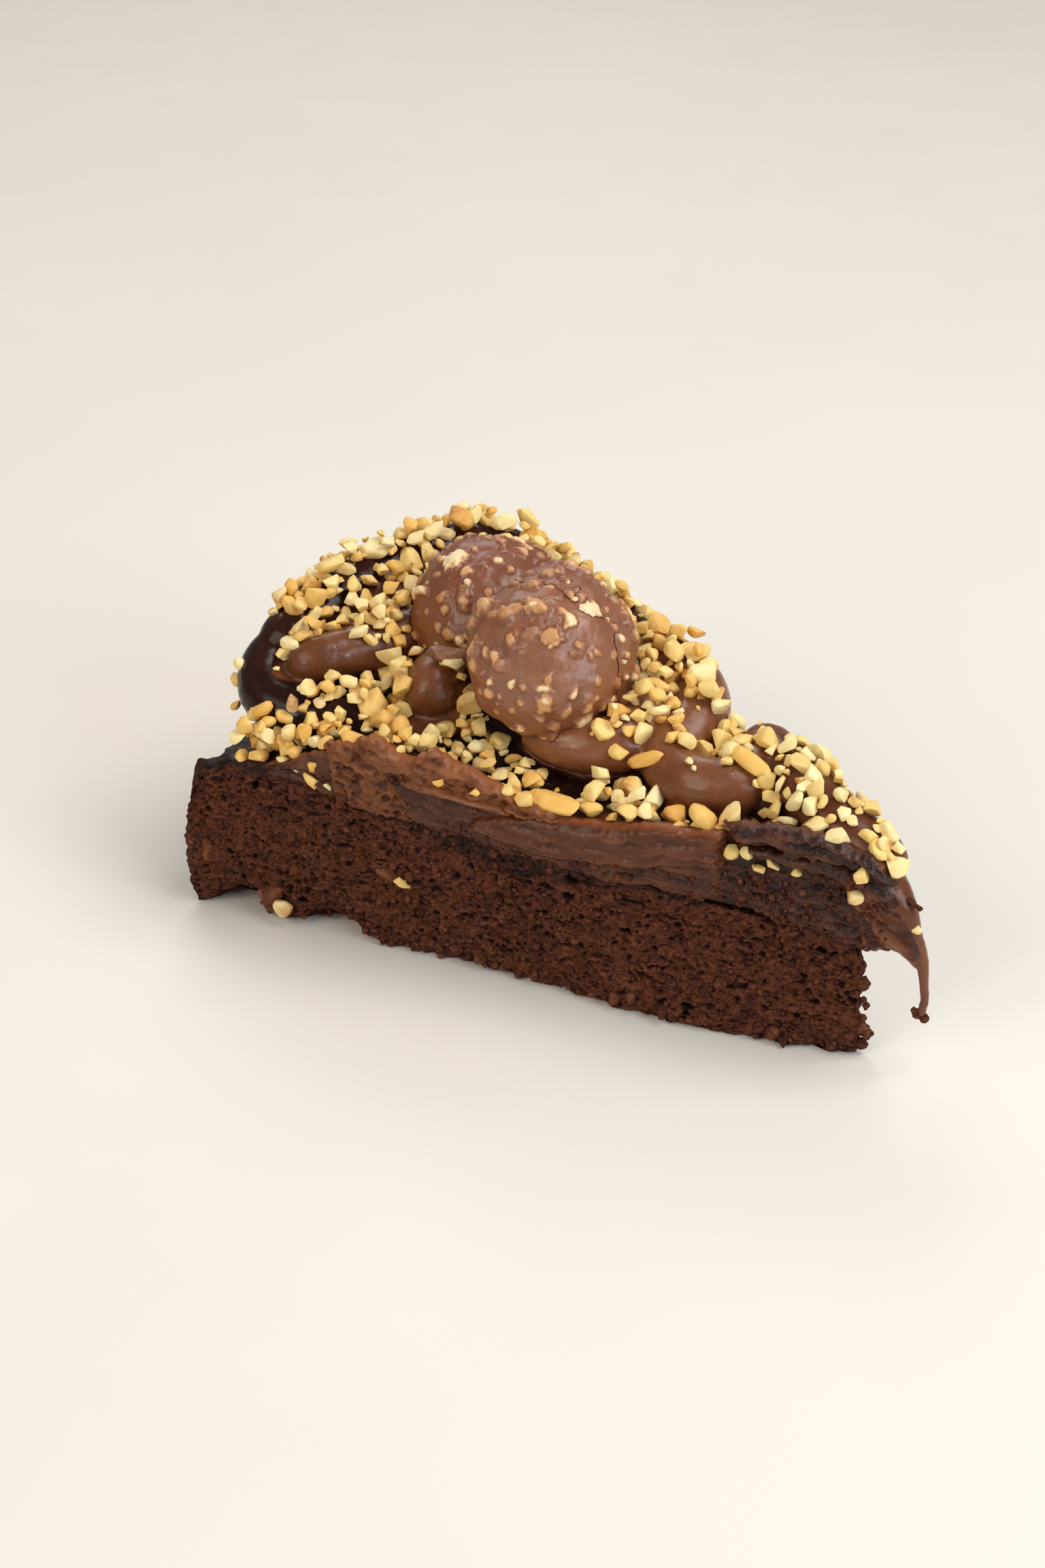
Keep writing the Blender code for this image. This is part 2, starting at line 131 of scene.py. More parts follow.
def bump(value, middle, width):
    return np.exp(-(((value - middle) / width) ** 2))


class Noise:
    """Smooth seeded noise in three dimensions, from about -1 to 1, one unit to a cell."""

    STRENGTH = 1.7

    def __init__(self, seed):
        draw = np.random.default_rng(seed)
        self.order = draw.permutation(256)
        ways = draw.normal(size=(256, 3))
        self.ways = ways / np.linalg.norm(ways, axis=1)[:, None]

    def __call__(self, *axes):
        points = np.stack(np.broadcast_arrays(*axes), axis=-1).astype(float)
        if points.shape[-1] == 2:
            points = np.concatenate([points, np.zeros(points.shape[:-1] + (1,))], axis=-1)
        cell = np.floor(points).astype(int)
        part = points - cell
        fade = part ** 3 * (part * (part * 6 - 15) + 10)
        total = np.zeros(points.shape[:-1])
        for corner in itertools.product((0, 1), repeat=3):
            here = cell + corner
            index = self.order[here[..., 0] & 255]
            index = self.order[(index + here[..., 1]) & 255]
            index = self.order[(index + here[..., 2]) & 255]
            weight = np.prod(np.where(corner, fade, 1 - fade), axis=-1)
            total += weight * np.sum(self.ways[index] * (part - corner), axis=-1)
        return total * self.STRENGTH

    def at(self, points):
        """The noise at an array of points."""
        return self(*np.moveaxis(points, -1, 0))


def smooth_path(points, step):
    """Points every step or so on a smooth curve through the given ones (Catmull-Rom)."""
    knots = [np.array(p, float) for p in points]
    knots = [2 * knots[0] - knots[1]] + knots + [2 * knots[-1] - knots[-2]]
    path = []
    for a, b, c, d in zip(knots, knots[1:], knots[2:], knots[3:]):
        count = max(2, round(float(np.linalg.norm((c - b)[:3])) / step))
        for i in range(count):
            t = i / count
            path.append(0.5 * (2 * b + (c - a) * t + (2 * a - 5 * b + 4 * c - d) * t * t
                               + (3 * b - 3 * c + d - a) * t ** 3))
    path.append(knots[-2])
    return path


def line_through(points, share):
    """Positions at the given shares of the first coordinate's range on a smooth curve through points."""
    path = np.array(smooth_path([(x, y, 0.0) for x, y in points], 0.5))[:, :2]
    spots = path[0, 0] + (path[-1, 0] - path[0, 0]) * share
    return spots, np.interp(spots, path[:, 0], path[:, 1])


# ---------------------------------------------------------------- the slice's plan and its layers

def place(along, across, height):
    """A point of the slice's own directions in the frame."""
    return Vector((along - ORIGIN_ALONG, across - ORIGIN_ACROSS, height))


def place_all(along, across, height):
    along, across, height = np.broadcast_arrays(along, across, height)
    return np.stack([along - ORIGIN_ALONG, across - ORIGIN_ACROSS, height], axis=-1)


def spot_mm(along, across, height):
    """A place given in millimetres, as an array."""
    return np.array(place(along * MM, across * MM, height * MM))


def in_metres(rows):
    """Rows of numbers in millimetres, as metres."""
    return [tuple(value * MM for value in row) for row in rows]


def reach(along, across):
    """Distance from the cake's centre, which is the slice's tip."""
    return np.hypot(CAKE_RADIUS - along, across)


def on_crust(plan):
    """Which points of a plan lie on the crust, and not on a cut."""
    return reach(*plan.T) > CAKE_RADIUS - 0.002


def brownie_top(along, across):
    distance = reach(along, across)
    rise = smooth_step(0.022, 0.112, distance)
    rim = smooth_step(CAKE_RADIUS - 0.014, CAKE_RADIUS, distance)
    return BROWNIE_AT_TIP + (BROWNIE_AT_RIM - BROWNIE_AT_TIP) * rise - CRUST_ROUNDING * rim


def glaze_floor(along, across):
    return brownie_top(along, across) + GAP


def glaze_top(along, across):
    rim = smooth_step(CAKE_RADIUS - 0.02, CAKE_RADIUS - 0.003, reach(along, across))
    return glaze_floor(along, across) + GLAZE + (GLAZE_AT_RIM - GLAZE) * rim


def frosting_floor(along, across):
    return glaze_top(along, across) + GAP


def coat_top(along, across):
    near = np.exp(-across / 0.02)
    swell = 0.0045 * bump(along, 0.04, 0.018) - 0.0022 * bump(along, 0.073, 0.01)
    rear = COAT_AT_REAR * smooth_step(0.008, 0.026, across)
    rear = rear * smooth_step(0.045, 0.075, reach(along, across))
    rim = 0.0035 * smooth_step(0.1, 0.125, reach(along, across))
    return COAT_HEIGHT + swell * near + rear - rim


def wedge_outline(inset, radius, near_steps, arc_steps, far_steps):
    """The slice's plan as points and outward normals: near cut from the tip, crust, and far cut."""
    far = np.array((-math.cos(SLICE_ANGLE), math.sin(SLICE_ANGLE)))
    far_normal = np.array((math.sin(SLICE_ANGLE), math.cos(SLICE_ANGLE)))
    tip = np.array((CAKE_RADIUS, 0.0))
    start = TIP_BLUNT + inset / math.tan(SLICE_ANGLE / 2)
    near_runs = start + (radius - start) * np.arange(near_steps) / near_steps
    far_runs = start + (radius - start) * np.arange(far_steps - 1, -1, -1) / far_steps
    low_angle = math.asin(inset / radius)
    angles = low_angle + (SLICE_ANGLE - 2 * low_angle) * np.arange(arc_steps + 1) / arc_steps
    ways = np.stack([-np.cos(angles), np.sin(angles)], axis=1)
    near_points = tip + np.outer(near_runs, (-1.0, 0.0)) + (0.0, inset)
    far_points = tip + np.outer(far_runs, far) - far_normal * inset
    points = np.concatenate([near_points, tip + ways * radius, far_points])
    near_normals = np.tile((0.0, -1.0), (near_steps, 1))
    normals = np.concatenate([near_normals, ways, np.tile(far_normal, (far_steps, 1))])
    return points, normals


def on_cut(side, along, depth, height):
    """Points on the near (side 0) or far (side 1) cut, from the crust to the tip, depth outside it."""
    if side == 0:
        return place_all(along, -depth, height)
    run = CAKE_RADIUS - along
    plan_along = CAKE_RADIUS - math.cos(SLICE_ANGLE) * run + math.sin(SLICE_ANGLE) * depth
    plan_across = math.sin(SLICE_ANGLE) * run + math.cos(SLICE_ANGLE) * depth
    return place_all(plan_along, plan_across, height)


# ---------------------------------------------------------------- meshes and objects

def grid_faces(rows, columns, wrap=False):
    index = np.arange(rows * columns).reshape(rows, columns)
    if wrap:
        index = np.concatenate([index, index[:, :1]], axis=1)
    corners = [index[:-1, :-1], index[:-1, 1:], index[1:, 1:], index[1:, :-1]]
    return [tuple(f) for f in np.stack(corners, axis=-1).reshape(-1, 4)]


def turned_out(points, faces):
    """The faces, turned so that a closed shell's volume is positive."""
    a, b, c = (points[[f[i] for f in faces]] for i in (0, 1, 2))
    volume = np.sum(np.cross(a, b) * c)
    quads = [f for f in faces if len(f) == 4]
    if quads:
        a, c, d = (points[[f[i] for f in quads]] for i in (0, 2, 3))
        volume += np.sum(np.cross(a, c) * d)
    return faces if volume > 0 else [tuple(reversed(f)) for f in faces]


def build_mesh(name, parts):
    """One mesh from several closed shells, each (points, faces, {attribute: values at its points})."""
    faces, offset = [], 0
    for points, part_faces, _ in parts:
        turned = turned_out(points, [tuple(f) for f in part_faces])
        faces += [tuple(v + offset for v in f) for f in turned]
        offset += len(points)
    data = bpy.data.meshes.new(name)
    data.from_pydata(np.concatenate([p for p, _, _ in parts]).tolist(), [], faces)
    for key in sorted({k for _, _, values in parts for k in values}):
        fields = [np.broadcast_to(values.get(key, 0.0), len(points)) for points, _, values in parts]
        set_attribute(data, key, np.concatenate(fields))
    data.shade_smooth()
    return data


def set_attribute(data, name, values):
    attribute = data.attributes.get(name) or data.attributes.new(name, "FLOAT", "POINT")
    attribute.data.foreach_set("value", np.ascontiguousarray(values, dtype=np.float32))


def read_vertices(data, what):
    """The mesh's points ("co") or the directions in which they face ("normal")."""
    values = np.empty(len(data.vertices) * 3, np.float32)
    data.vertices.foreach_get(what, values)
    return values.reshape(-1, 3).astype(float)


def push_out(data, move):
    """Moves the mesh's points along their normals."""
    points = read_vertices(data, "co") + read_vertices(data, "normal") * move
    data.vertices.foreach_set("co", points.astype(np.float32).ravel())


def add_object(name, data):
    if isinstance(data, bmesh.types.BMesh):
        mesh = bpy.data.meshes.new(name)
        data.to_mesh(mesh)
        data.free()
        data = mesh
    made = bpy.data.objects.new(name, data)
    bpy.context.scene.collection.objects.link(made)
    return made


def add_shells(name, parts):
    return add_object(name, build_mesh(name, parts))


def dress(piece, material, node=None):
    """Gives a piece its material and its body, and hides the CAD node that it stands for."""
    piece.data.materials.clear()
    piece.data.materials.append(material)
    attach(piece, "root")
    if node:
        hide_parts(node)
    return piece


def apply_modifiers(piece):
    graph = bpy.context.evaluated_depsgraph_get()
    graph.update()
    piece.data = bpy.data.meshes.new_from_object(piece.evaluated_get(graph))
    piece.modifiers.clear()


def drop_scraps(piece, fewest=60):
    """Takes out the loose slivers that a boolean leaves behind."""
    mesh = bmesh.new()
    mesh.from_mesh(piece.data)
    waiting, scraps = set(mesh.verts), []
    while waiting:
        island, ahead = [], [waiting.pop()]
        while ahead:
            vertex = ahead.pop()
            island.append(vertex)
            beside = {edge.other_vert(vertex) for edge in vertex.link_edges} & waiting
            waiting -= beside
            ahead += beside
        if len(island) < fewest:
            scraps += island
    bmesh.ops.delete(mesh, geom=scraps, context="VERTS")
    mesh.to_mesh(piece.data)
    mesh.free()


def cut(piece, cutter):
    modifier = piece.modifiers.new("cut", "BOOLEAN")
    modifier.operation = "DIFFERENCE"
    modifier.object = cutter
    modifier.solver = "MANIFOLD"
    apply_modifiers(piece)
    drop_scraps(piece)
    bpy.data.objects.remove(cutter)


def grown_copy(piece):
    """The piece, a little larger all round, as a cutter that leaves a gap."""
    data = piece.data.copy()
    push_out(data, SHELL_GAP)
    return add_object(piece.name + "_cutter", data)


def ring_band(first, second, count):
    """Faces between two rings of points, given the number of each ring's first point."""
    following = [(i, (i + 1) % count) for i in range(count)]
    return [(first + i, first + j, second + j, second + i) for i, j in following]


def add_cap(points, faces, rim, outer, rings, centre, level_of):
    """Closes a wall's rim, whose first point is numbered outer, with rings drawn in to the centre."""
    count, total = len(rim), sum(len(p) for p in points)
    roof = outer > 0
    for shrink in rings:
        inner = centre + (rim - centre) * shrink
        points.append(place_all(*inner.T, level_of(*inner.T)))
        faces += ring_band(outer, total, count) if roof else ring_band(total, outer, count)
        outer, total = total, total + count
    points.append(place_all(*centre, np.mean(level_of(*centre)))[None])
    fan = [(outer + i, outer + (i + 1) % count, total) for i in range(count)]
    faces += fan if roof else [face[::-1] for face in fan]


def layer_shell(outline, low, high, rows, relief, top_of, base_of=None, rings=CAP_RINGS):
    """A closed layer over the outline: (points, faces) with a wall of rows, and a floor and roof of rings."""
    plan, normals = outline
    height = low + (high - low) * np.linspace(0, 1, rows)[:, None]
    moved = plan[None] + normals[None] * relief(plan, normals, height)[..., None]
    height[-1] = top_of(*moved[-1].T)
    points = [place_all(moved[..., 0], moved[..., 1], height).reshape(-1, 3)]
    faces = grid_faces(rows, len(plan), wrap=True)
    centre = plan.mean(axis=0)
    add_cap(points, faces, moved[0], 0, rings, centre, base_of or (lambda *_: low))
    add_cap(points, faces, moved[-1], (rows - 1) * len(plan), rings, centre, top_of)
    return np.concatenate(points), faces


# ---------------------------------------------------------------- materials

class Nodes:
    """A material's node tree with short calls for the nodes that these looks use."""

    def __init__(self, name):
        self.material = bpy.data.materials.new(name)
        self.material.use_nodes = True
        self.tree = self.material.node_tree
        self.shader = self.tree.nodes["Principled BSDF"]

    def add(self, kind, inputs=None, **settings):
        node = self.tree.nodes.new(kind)
        for key, value in settings.items():
            setattr(node, key, value)
        for key, value in (inputs or {}).items():
            self.set(node.inputs[key], value)
        return node

    def set(self, socket, value):
        if isinstance(value, bpy.types.NodeSocket):
            self.tree.links.new(value, socket)
        else:
            socket.default_value = value

    def attribute(self, name):
        return self.add("ShaderNodeAttribute", attribute_name=name).outputs["Fac"]

    def noise(self, scale, detail=3.0, roughness=0.55, stretch=None, distortion=0.0):
        """Noise with its cell's size given in metres."""
        node = self.add("ShaderNodeTexNoise", {
            "Vector": self.spot(scale, stretch), "Scale": 1.0, "Detail": detail, "Roughness": roughness,
            "Distortion": distortion,
        })
        return node.outputs["Fac"]

    def vary(self, low, high, *noise_settings):
        """Noise that mostly stays between low and high."""
        return self.span(self.noise(*noise_settings), 0.3, 0.7, low, high)

    def spot(self, scale, stretch):
        place_in = self.add("ShaderNodeTexCoord").outputs["Object"]
        sizes = [1 / (scale * s) for s in (stretch or (1, 1, 1))]
        return self.add("ShaderNodeMapping", {"Vector": place_in, "Scale": sizes}).outputs["Vector"]

    def math(self, operation, a, b, clamp=False):
        return self.add("ShaderNodeMath", {0: a, 1: b}, operation=operation, use_clamp=clamp).outputs[0]

    def plus(self, a, b, clamp=False):
        return self.math("ADD", a, b, clamp)

    def times(self, a, b):
        return self.math("MULTIPLY", a, b)

    def span(self, value, low, high, to_low=0.0, to_high=1.0):
        limits = {"From Min": low, "From Max": high, "To Min": to_low, "To Max": to_high}
        return self.add("ShaderNodeMapRange", {"Value": value, **limits}).outputs["Result"]

    def mix(self, share, a, b):
        a, b = ((*colour, 1.0) if isinstance(colour, tuple) else colour for colour in (a, b))
        return self.add("ShaderNodeMix", {0: share, 6: a, 7: b}, data_type="RGBA").outputs[2]

    def ramp(self, value, stops):
        node = self.add("ShaderNodeValToRGB", {"Fac": value})
        elements = node.color_ramp.elements
        while len(elements) < len(stops):
            elements.new(0.5)
        for element, (position, colour) in zip(elements, stops):
            element.position = position
            element.color = (*colour, 1.0)
        return node.outputs["Color"]

    def bump(self, height, distance, strength=1.0, under=None):
        inputs = {"Strength": strength, "Distance": distance, "Height": height}
        if under:
            inputs["Normal"] = under
        return self.add("ShaderNodeBump", inputs).outputs["Normal"]

    def finish(self, colour, roughness, normal=None, **inputs):
        inputs = {"Base Color": colour, "Roughness": roughness, **inputs}
        if normal:
            inputs["Normal"] = normal
        for name, value in inputs.items():
            self.set(self.shader.inputs[name.replace("_", " ")], value)
        return self.material


def brownie_material():
    """Red-brown crumb: painted shade in pores, painted highlight on torn crumbs, nearly black where glaze
    soaked in.
    """
    n = Nodes("brownie_crumb")
    grain = n.vary(-0.42, 0.46, 0.00062, 4.0, 0.75, (1.2, 1.2, 0.8))
    # The pits are painted shade of pores; the tone attribute adds painted shade in pores and painted
    # highlight on raised crumbs.
    pits = n.span(n.noise(0.001, 3.0, 0.65, (1.6, 1.6, 0.7), 0.8), 0.36, 0.47, -0.46, 0.03)
    patch = n.vary(-0.06, 0.06, 0.008, 2.0)
    tone = n.plus(n.attribute("tone"), n.plus(n.plus(grain, pits), patch))
    crumb = n.ramp(n.span(tone, -1.0, 1.0), [
        (0.05, (0.007, 0.0028, 0.0022)), (0.28, (0.032, 0.011, 0.0068)), (0.5, (0.085, 0.026, 0.0138)),
        (0.66, (0.14, 0.0455, 0.0235)), (0.95, (0.26, 0.095, 0.048)),
    ])
    soak = n.attribute("soak")
    wet_crumb = n.ramp(n.span(tone, -1.0, 1.0), [
        (0.3, (0.008, 0.003, 0.0022)), (0.55, (0.03, 0.01, 0.0058)), (0.78, (0.11, 0.034, 0.0165)),
    ])
    soaked = n.mix(n.times(soak, 0.94), crumb, wet_crumb)
    baked = n.mix(n.times(n.attribute("crust"), 0.55), soaked, (0.042, 0.0135, 0.007))
    roughness = n.span(soak, 0.0, 1.0, 0.9, 0.46)
    relief = n.bump(n.noise(0.00034, 4.0, 0.7), 0.00024, 1.0)
    return n.finish(baked, roughness, relief, Specular_IOR_Level=n.span(soak, 0.0, 1.0, 0.12, 0.15))


def frosting_material():
    """Milk-brown satin on the ropes, and nearly black, wet and crinkled in between."""
    n = Nodes("frosting_satin")
    cloud = n.vary(-0.06, 0.06, 0.006, 2.0)
    fine = n.vary(-0.05, 0.05, 0.0008, 3.0, 0.65)
    # milk carries painted shade in the frosting's hollows and on the rim and corner ropes.
    milk = n.plus(n.plus(n.attribute("milk"), cloud), fine, clamp=True)
    colour = n.ramp(milk, [
        (0.0, (0.012, 0.0036, 0.0026)), (0.25, (0.038, 0.0098, 0.005)), (0.5, (0.09, 0.0245, 0.009)),
        (0.8, (0.185, 0.062, 0.022)), (1.0, (0.27, 0.103, 0.043)),
    ])
    # edge: orange-brown on thin rims, partly the thin chocolate's own colour and partly painted rim light,
    # and painted highlight on streak crests.
    colour = n.mix(n.times(n.attribute("edge"), 0.75), colour, (0.3, 0.098, 0.038))
    colour = n.mix(n.attribute("speck"), colour, n.ramp(n.noise(0.0006), [
        (0.3, (0.045, 0.014, 0.008)), (0.7, (0.15, 0.048, 0.024)),
    ]))
    roughness = n.plus(n.span(n.attribute("wet"), 0.0, 1.0, 0.29, 0.2), n.vary(-0.05, 0.05, 0.0016))
    crinkle = n.times(n.noise(0.0007, 3.0, 0.6), n.attribute("crinkle"))
    relief = n.bump(crinkle, 0.0003, 0.8, n.bump(n.noise(0.0004, 3.0, 0.6), 0.00004, 0.6))
    return n.finish(colour, roughness, relief, Specular_IOR_Level=n.times(n.attribute("shine"), 0.5))


def nut_material():
    """Cream chopped nut, golden or brown where it was roasted."""
    n = Nodes("chopped_nut")
    tone = n.plus(n.attribute("tone"), n.vary(-0.1, 0.1, 0.0014, 2.0), clamp=True)
    pale = n.ramp(tone, [
        (0.0, (0.77, 0.41, 0.085)), (0.3, (0.83, 0.53, 0.145)), (0.62, (0.88, 0.65, 0.24)),
        (1.0, (0.93, 0.78, 0.42)),
    ])
    scorched = n.span(n.noise(0.0012, 3.0), 0.35, 0.7, -0.16, 0.16)
    roast = n.plus(n.attribute("roast"), scorched, clamp=True)
    roasted = n.ramp(roast, [
        (0.0, (0.72, 0.45, 0.15)), (0.55, (0.6, 0.26, 0.055)), (1.0, (0.3, 0.095, 0.02)),
    ])
    colour = n.mix(roast, pale, roasted)
    relief = n.bump(n.noise(0.0005, 3.0, 0.6), 0.0001, 0.8)
    return n.finish(colour, n.vary(0.42, 0.6, 0.001), relief, Specular_IOR_Level=0.4,
                    Subsurface_Weight=0.1, Subsurface_Scale=0.0008)


def praline_material():
    """Milk chocolate with nut showing through it."""
    n = Nodes("praline_shell")
    cloud = n.noise(0.004, 3.0, 0.6)
    milk = n.ramp(cloud, [(0.3, (0.195, 0.064, 0.025)), (0.7, (0.3, 0.109, 0.046))])
    # deep mixes in painted shade: over the back piece, towards the front pieces' edges, and on the hollow
    # backs.
    milk = n.mix(n.times(n.attribute("deep"), 0.9), milk, (0.19, 0.05, 0.014))
    bit = n.plus(n.attribute("bit"), n.vary(-0.1, 0.1, 0.0006, 3.0), clamp=True)
    golden = n.ramp(bit, [
        (0.15, (0.3, 0.125, 0.05)), (0.5, (0.5, 0.225, 0.075)), (0.8, (0.64, 0.35, 0.13)),
        (1.0, (0.82, 0.64, 0.36)),
    ])
    colour = n.mix(n.span(bit, 0.08, 0.42), milk, golden)
    rim = n.ramp(n.noise(0.0006), [(0.35, (0.15, 0.06, 0.03)), (0.65, (0.38, 0.175, 0.09))])
    colour = n.mix(n.attribute("broken"), colour, rim)
    roughness = n.vary(0.34, 0.46, 0.0022, 3.0)
    relief = n.bump(n.noise(0.0011, 4.0, 0.6), 0.00008, 0.9)
    return n.finish(colour, roughness, relief, Specular_IOR_Level=0.8)


def floor_material():
    n = Nodes("pale_floor")
    colour = n.ramp(n.noise(0.12, 2.0), [(0.3, (0.79, 0.745, 0.67)), (0.7, (0.815, 0.77, 0.695))])
    return n.finish(colour, n.vary(0.5, 0.58, 0.02))


# ---------------------------------------------------------------- brownie

def crumb_relief(plan, normals, height):
    """The solid's own relief: torn cuts, a bulging crust, a bowed near cut, and two undercuts at its base."""
    crust = on_crust(plan)
    rough = np.where(crust, CRUST_ROUGHNESS, CUT_ROUGHNESS)
    height = np.broadcast_to(height, (len(np.atleast_2d(height)), len(plan)))
    spots = [[(x, y, z) for (x, y), z in zip(plan.tolist(), row)] for row in height.tolist()]
    torn = np.array([[torn_noise(*spot) for spot in row] for row in spots])
    share = height / brownie_top(*plan.T)
    relief = rough * torn + np.where(crust, 0.0012 * np.sin(math.pi * share) - 0.0026 * share ** 4, 0.0)
    bowed = 0.004 * bump(plan[:, 0], 0.097, 0.027) * (1 - share)
    bowed -= 0.0055 * bump(plan[:, 0], 0.01, 0.0055) * bump(height, 0, 0.005)
    bowed -= 0.005 * bump(plan[:, 0], 0.028, 0.005) * bump(height, 0, 0.004)
    return relief + np.where(normals[:, 1] < -0.5, bowed, 0.0)


def upper_relief(plan, normals):
    """The relief at the brownie's upper edge, which the layers on it carry on."""
    return crumb_relief(plan, normals, brownie_top(*plan.T)[None])


def torn_noise(x, y, z):
    spot = Vector((x, y, z * 1.7)) / 0.004
    return noise.noise(spot) + 0.5 * noise.noise(spot * 2.3)


def stamp(field, run, height, spots, sharpness):
    """Presses (run, height, half width, half height, depth) hollows into the field of depths."""
    for at, level, wide, high, depth in spots:
        first, last = np.searchsorted(run, (at - wide, at + wide))
        if last - first < 1:
            continue
        here = height[:, first:last]
        rows = np.flatnonzero(np.abs(here[:, 0] - level) < high * 1.3)
        if len(rows) == 0:
            continue
        window = slice(rows[0], rows[-1] + 1)
        away = ((run[None, first:last] - at) / wide) ** 2 + ((here[window] - level) / high) ** 2
        hollow = depth * np.clip(1 - away, 0, 1) ** sharpness
        field[window, first:last] = np.maximum(field[window, first:last], hollow)


# What is stamped into the cuts: how many; half width (middle, spread and largest); half height as a share of
# the width (from, to); depth as a share of the width (from, to) and the deepest; and how sharp-edged it is.
PORES = [
    (7500, (0.00024, 0.45, 0.0008), (0.4, 0.8), (0.9, 1.8, 0.0008), 0.8),
    (60, (0.0007, 0.35, 0.0013), (0.45, 0.8), (1.4, 2.0, 0.002), 0.6),
    (600, (0.0011, 0.4, 0.0026), (0.1, 0.2), (0.3, 0.6, 0.0006), 1.0),
]
RAISED_CRUMBS = [(15000, (0.0003, 0.35, 0.0007), (0.6, 1.0), (0.4, 0.8, 0.0003), 1.0)]


def stamped(kinds, draw, ranges, run, height):
    """The depth of hollows strewn over both cuts."""
    field = np.zeros(height.shape)
    for count, wide, flat, deep, sharpness in kinds:
        spots = []
        for _ in range(count):
            low, high = ranges[draw.integers(len(ranges))]
            half = min(wide[0] * math.exp(draw.normal() * wide[1]), wide[2])
            spots.append((draw.uniform(low, high), draw.uniform(0.0, BROWNIE_AT_RIM),
                          half, half * draw.uniform(*flat), min(half * draw.uniform(*deep[:2]), deep[2])))
        stamp(field, run, height, spots, sharpness)
    return field


# The line on the near cut below which the crumb is dry, as (along, height) in mm.
DRY_LINE = [
    (0, 31.5), (20, 30.6), (30, 29.8), (40, 27.3), (44.7, 26.5), (50, 24.9), (57.8, 22.8), (65.6, 20.9),
    (70.8, 22), (78.5, 22.4), (83.6, 23.6), (91.2, 23.3), (98.7, 23.2), (104, 24.6), (109, 23.8),
    (119.5, 23.2), (128.6, 20.8),
]


def dry_line(along, on_near):
    """The height up to which each cut is dry crumb."""
    line = np.array(DRY_LINE) * MM
    far = brownie_top(along, 0.0) - 0.0006 - 0.0015 * bump(along, 0.05, 0.02)
    return np.where(on_near, np.interp(along, line[:, 0], line[:, 1]), far)


def cut_detail(run, height, lumps):
    """Pores, tears and crumbs: (displacement, tone); the tone paints shade in pores and highlight on crumbs.
    """
    level = height + 0.00022 * Noise(WARP_SEED)(run / 0.0011, height / 0.0008, 7.3)
    draw = np.random.default_rng(PORE_SEED)
    near_end = run[NEAR_STEPS]
    ranges = [(0.0, near_end), (0.0, near_end), (run[NEAR_STEPS + ARC_STEPS], run[-1])]
    pores = stamped(PORES, draw, ranges, run, level)
    crumbs = stamped(RAISED_CRUMBS, draw, ranges, run, level)
    lump = 0.00014 * lumps(run / 0.0026, level / 0.0016, 0.0)
    lump = lump + 0.00009 * lumps(run / 0.001, level / 0.0007, 2.2)
    fine = 0.00012 * lumps(run / 0.00056, level / 0.00044, 5.5)
    # Painted light: lighter on raised crumbs and lumps, darker in the pores.
    tone = crumbs / 0.0003 * 0.26 + (lump + fine) / 0.0003 * 0.28 - pores / 0.0006 * 1.1 + 0.03
    return lump + fine + crumbs - pores, tone


def crust_detail(run, height, lumps):
    """A lumpy and pitted crust: (displacement, tone); the tone paints highlight on lumps and shade in pits.
    """
    move = 0.0005 * lumps(run / 0.0052, height / 0.0044, 9.1)
    move = move + 0.00055 * np.abs(lumps(run / 0.0021, height / 0.0019, 3.3))
    move = move + 0.0003 * lumps(run / 0.0009, height / 0.0009, 1.1)
    # Painted light: the crust is lighter where it bulges out and darker in its pits.
    return move, move / 0.0004 * 0.22 - 0.1


def brownie_detail(plan, height):
    """The detail of the cuts and the crust: (displacement, (tone, soak, crust))."""
    run = np.concatenate([[0.0], np.cumsum(np.linalg.norm(np.diff(plan, axis=0), axis=1))])
    lumps = Noise(LUMP_SEED)
    on_near = run < run[NEAR_STEPS]
    cut_share = (on_near | (run > run[NEAR_STEPS + ARC_STEPS])).astype(float)
    cut_move, cut_tone = cut_detail(run, height, lumps)
    crust_move, crust_tone = crust_detail(run, height, lumps)
    below_top = smooth_step(0.0, 0.003, brownie_top(*plan.T) - height)
    move = cut_share * cut_move + (1 - cut_share) * crust_move
    tone = cut_share * cut_tone + (1 - cut_share) * crust_tone * below_top
    from_crust = np.where(on_near, plan[:, 0], CAKE_RADIUS - reach(*plan.T))
    blotch = 0.0009 * lumps(run / 0.0032, height / 0.0016, 13.0)
    blotch = blotch + 0.0006 * lumps(run / 0.0009, height / 0.0007, 17.0)
    soak = smooth_step(-0.0006, 0.0006, height + blotch - dry_line(from_crust, on_near))
    crust = np.broadcast_to(1 - cut_share, height.shape)
    return move - torn_base(run, height), (np.clip(tone, -1, 1), soak, crust)


def torn_base(run, height):
    """How far the foot of the wall is broken away."""
    wander = Noise(FOOT_SEED)
    away = 0.0003 + 0.0012 * np.abs(wander(run / 0.0042, 0.5)) + 0.0004 * np.abs(wander(run / 0.0012, 2.5))
    return away * np.clip(1 - height / 0.0032, 0, 1) ** 2


def lifted_base(along, across):
    """How far the base is torn up off the floor beside the crust corner."""
    lift = 0.0042 * bump(along, 0.01, 0.0052) + 0.002 * bump(along, 0.026, 0.0045)
    return lift * smooth_step(0.014, 0.007, across)


def ragged_base(plan):
    """The base's edge is broken up by torn crumbs."""
    wander = Noise(BASE_SEED)
    edge = 0.0011 * np.abs(wander(*(plan / 0.005).T)) + 0.0004 * np.abs(wander(*(plan / 0.0013).T, 4.0))
    return edge + lifted_base(*plan.T)


def make_layer(name, node, shell, wall, caps, material):
    """A layer of the cake, with the tone, soak and crust of its wall, and of its floor and roof."""
    fields = [np.concatenate([on_wall.ravel(), on_caps]) for on_wall, on_caps in zip(wall, caps)]
    values = dict(zip(("tone", "soak", "crust"), fields))
    return dress(add_shells(name, [(*shell, values)]), material, node)


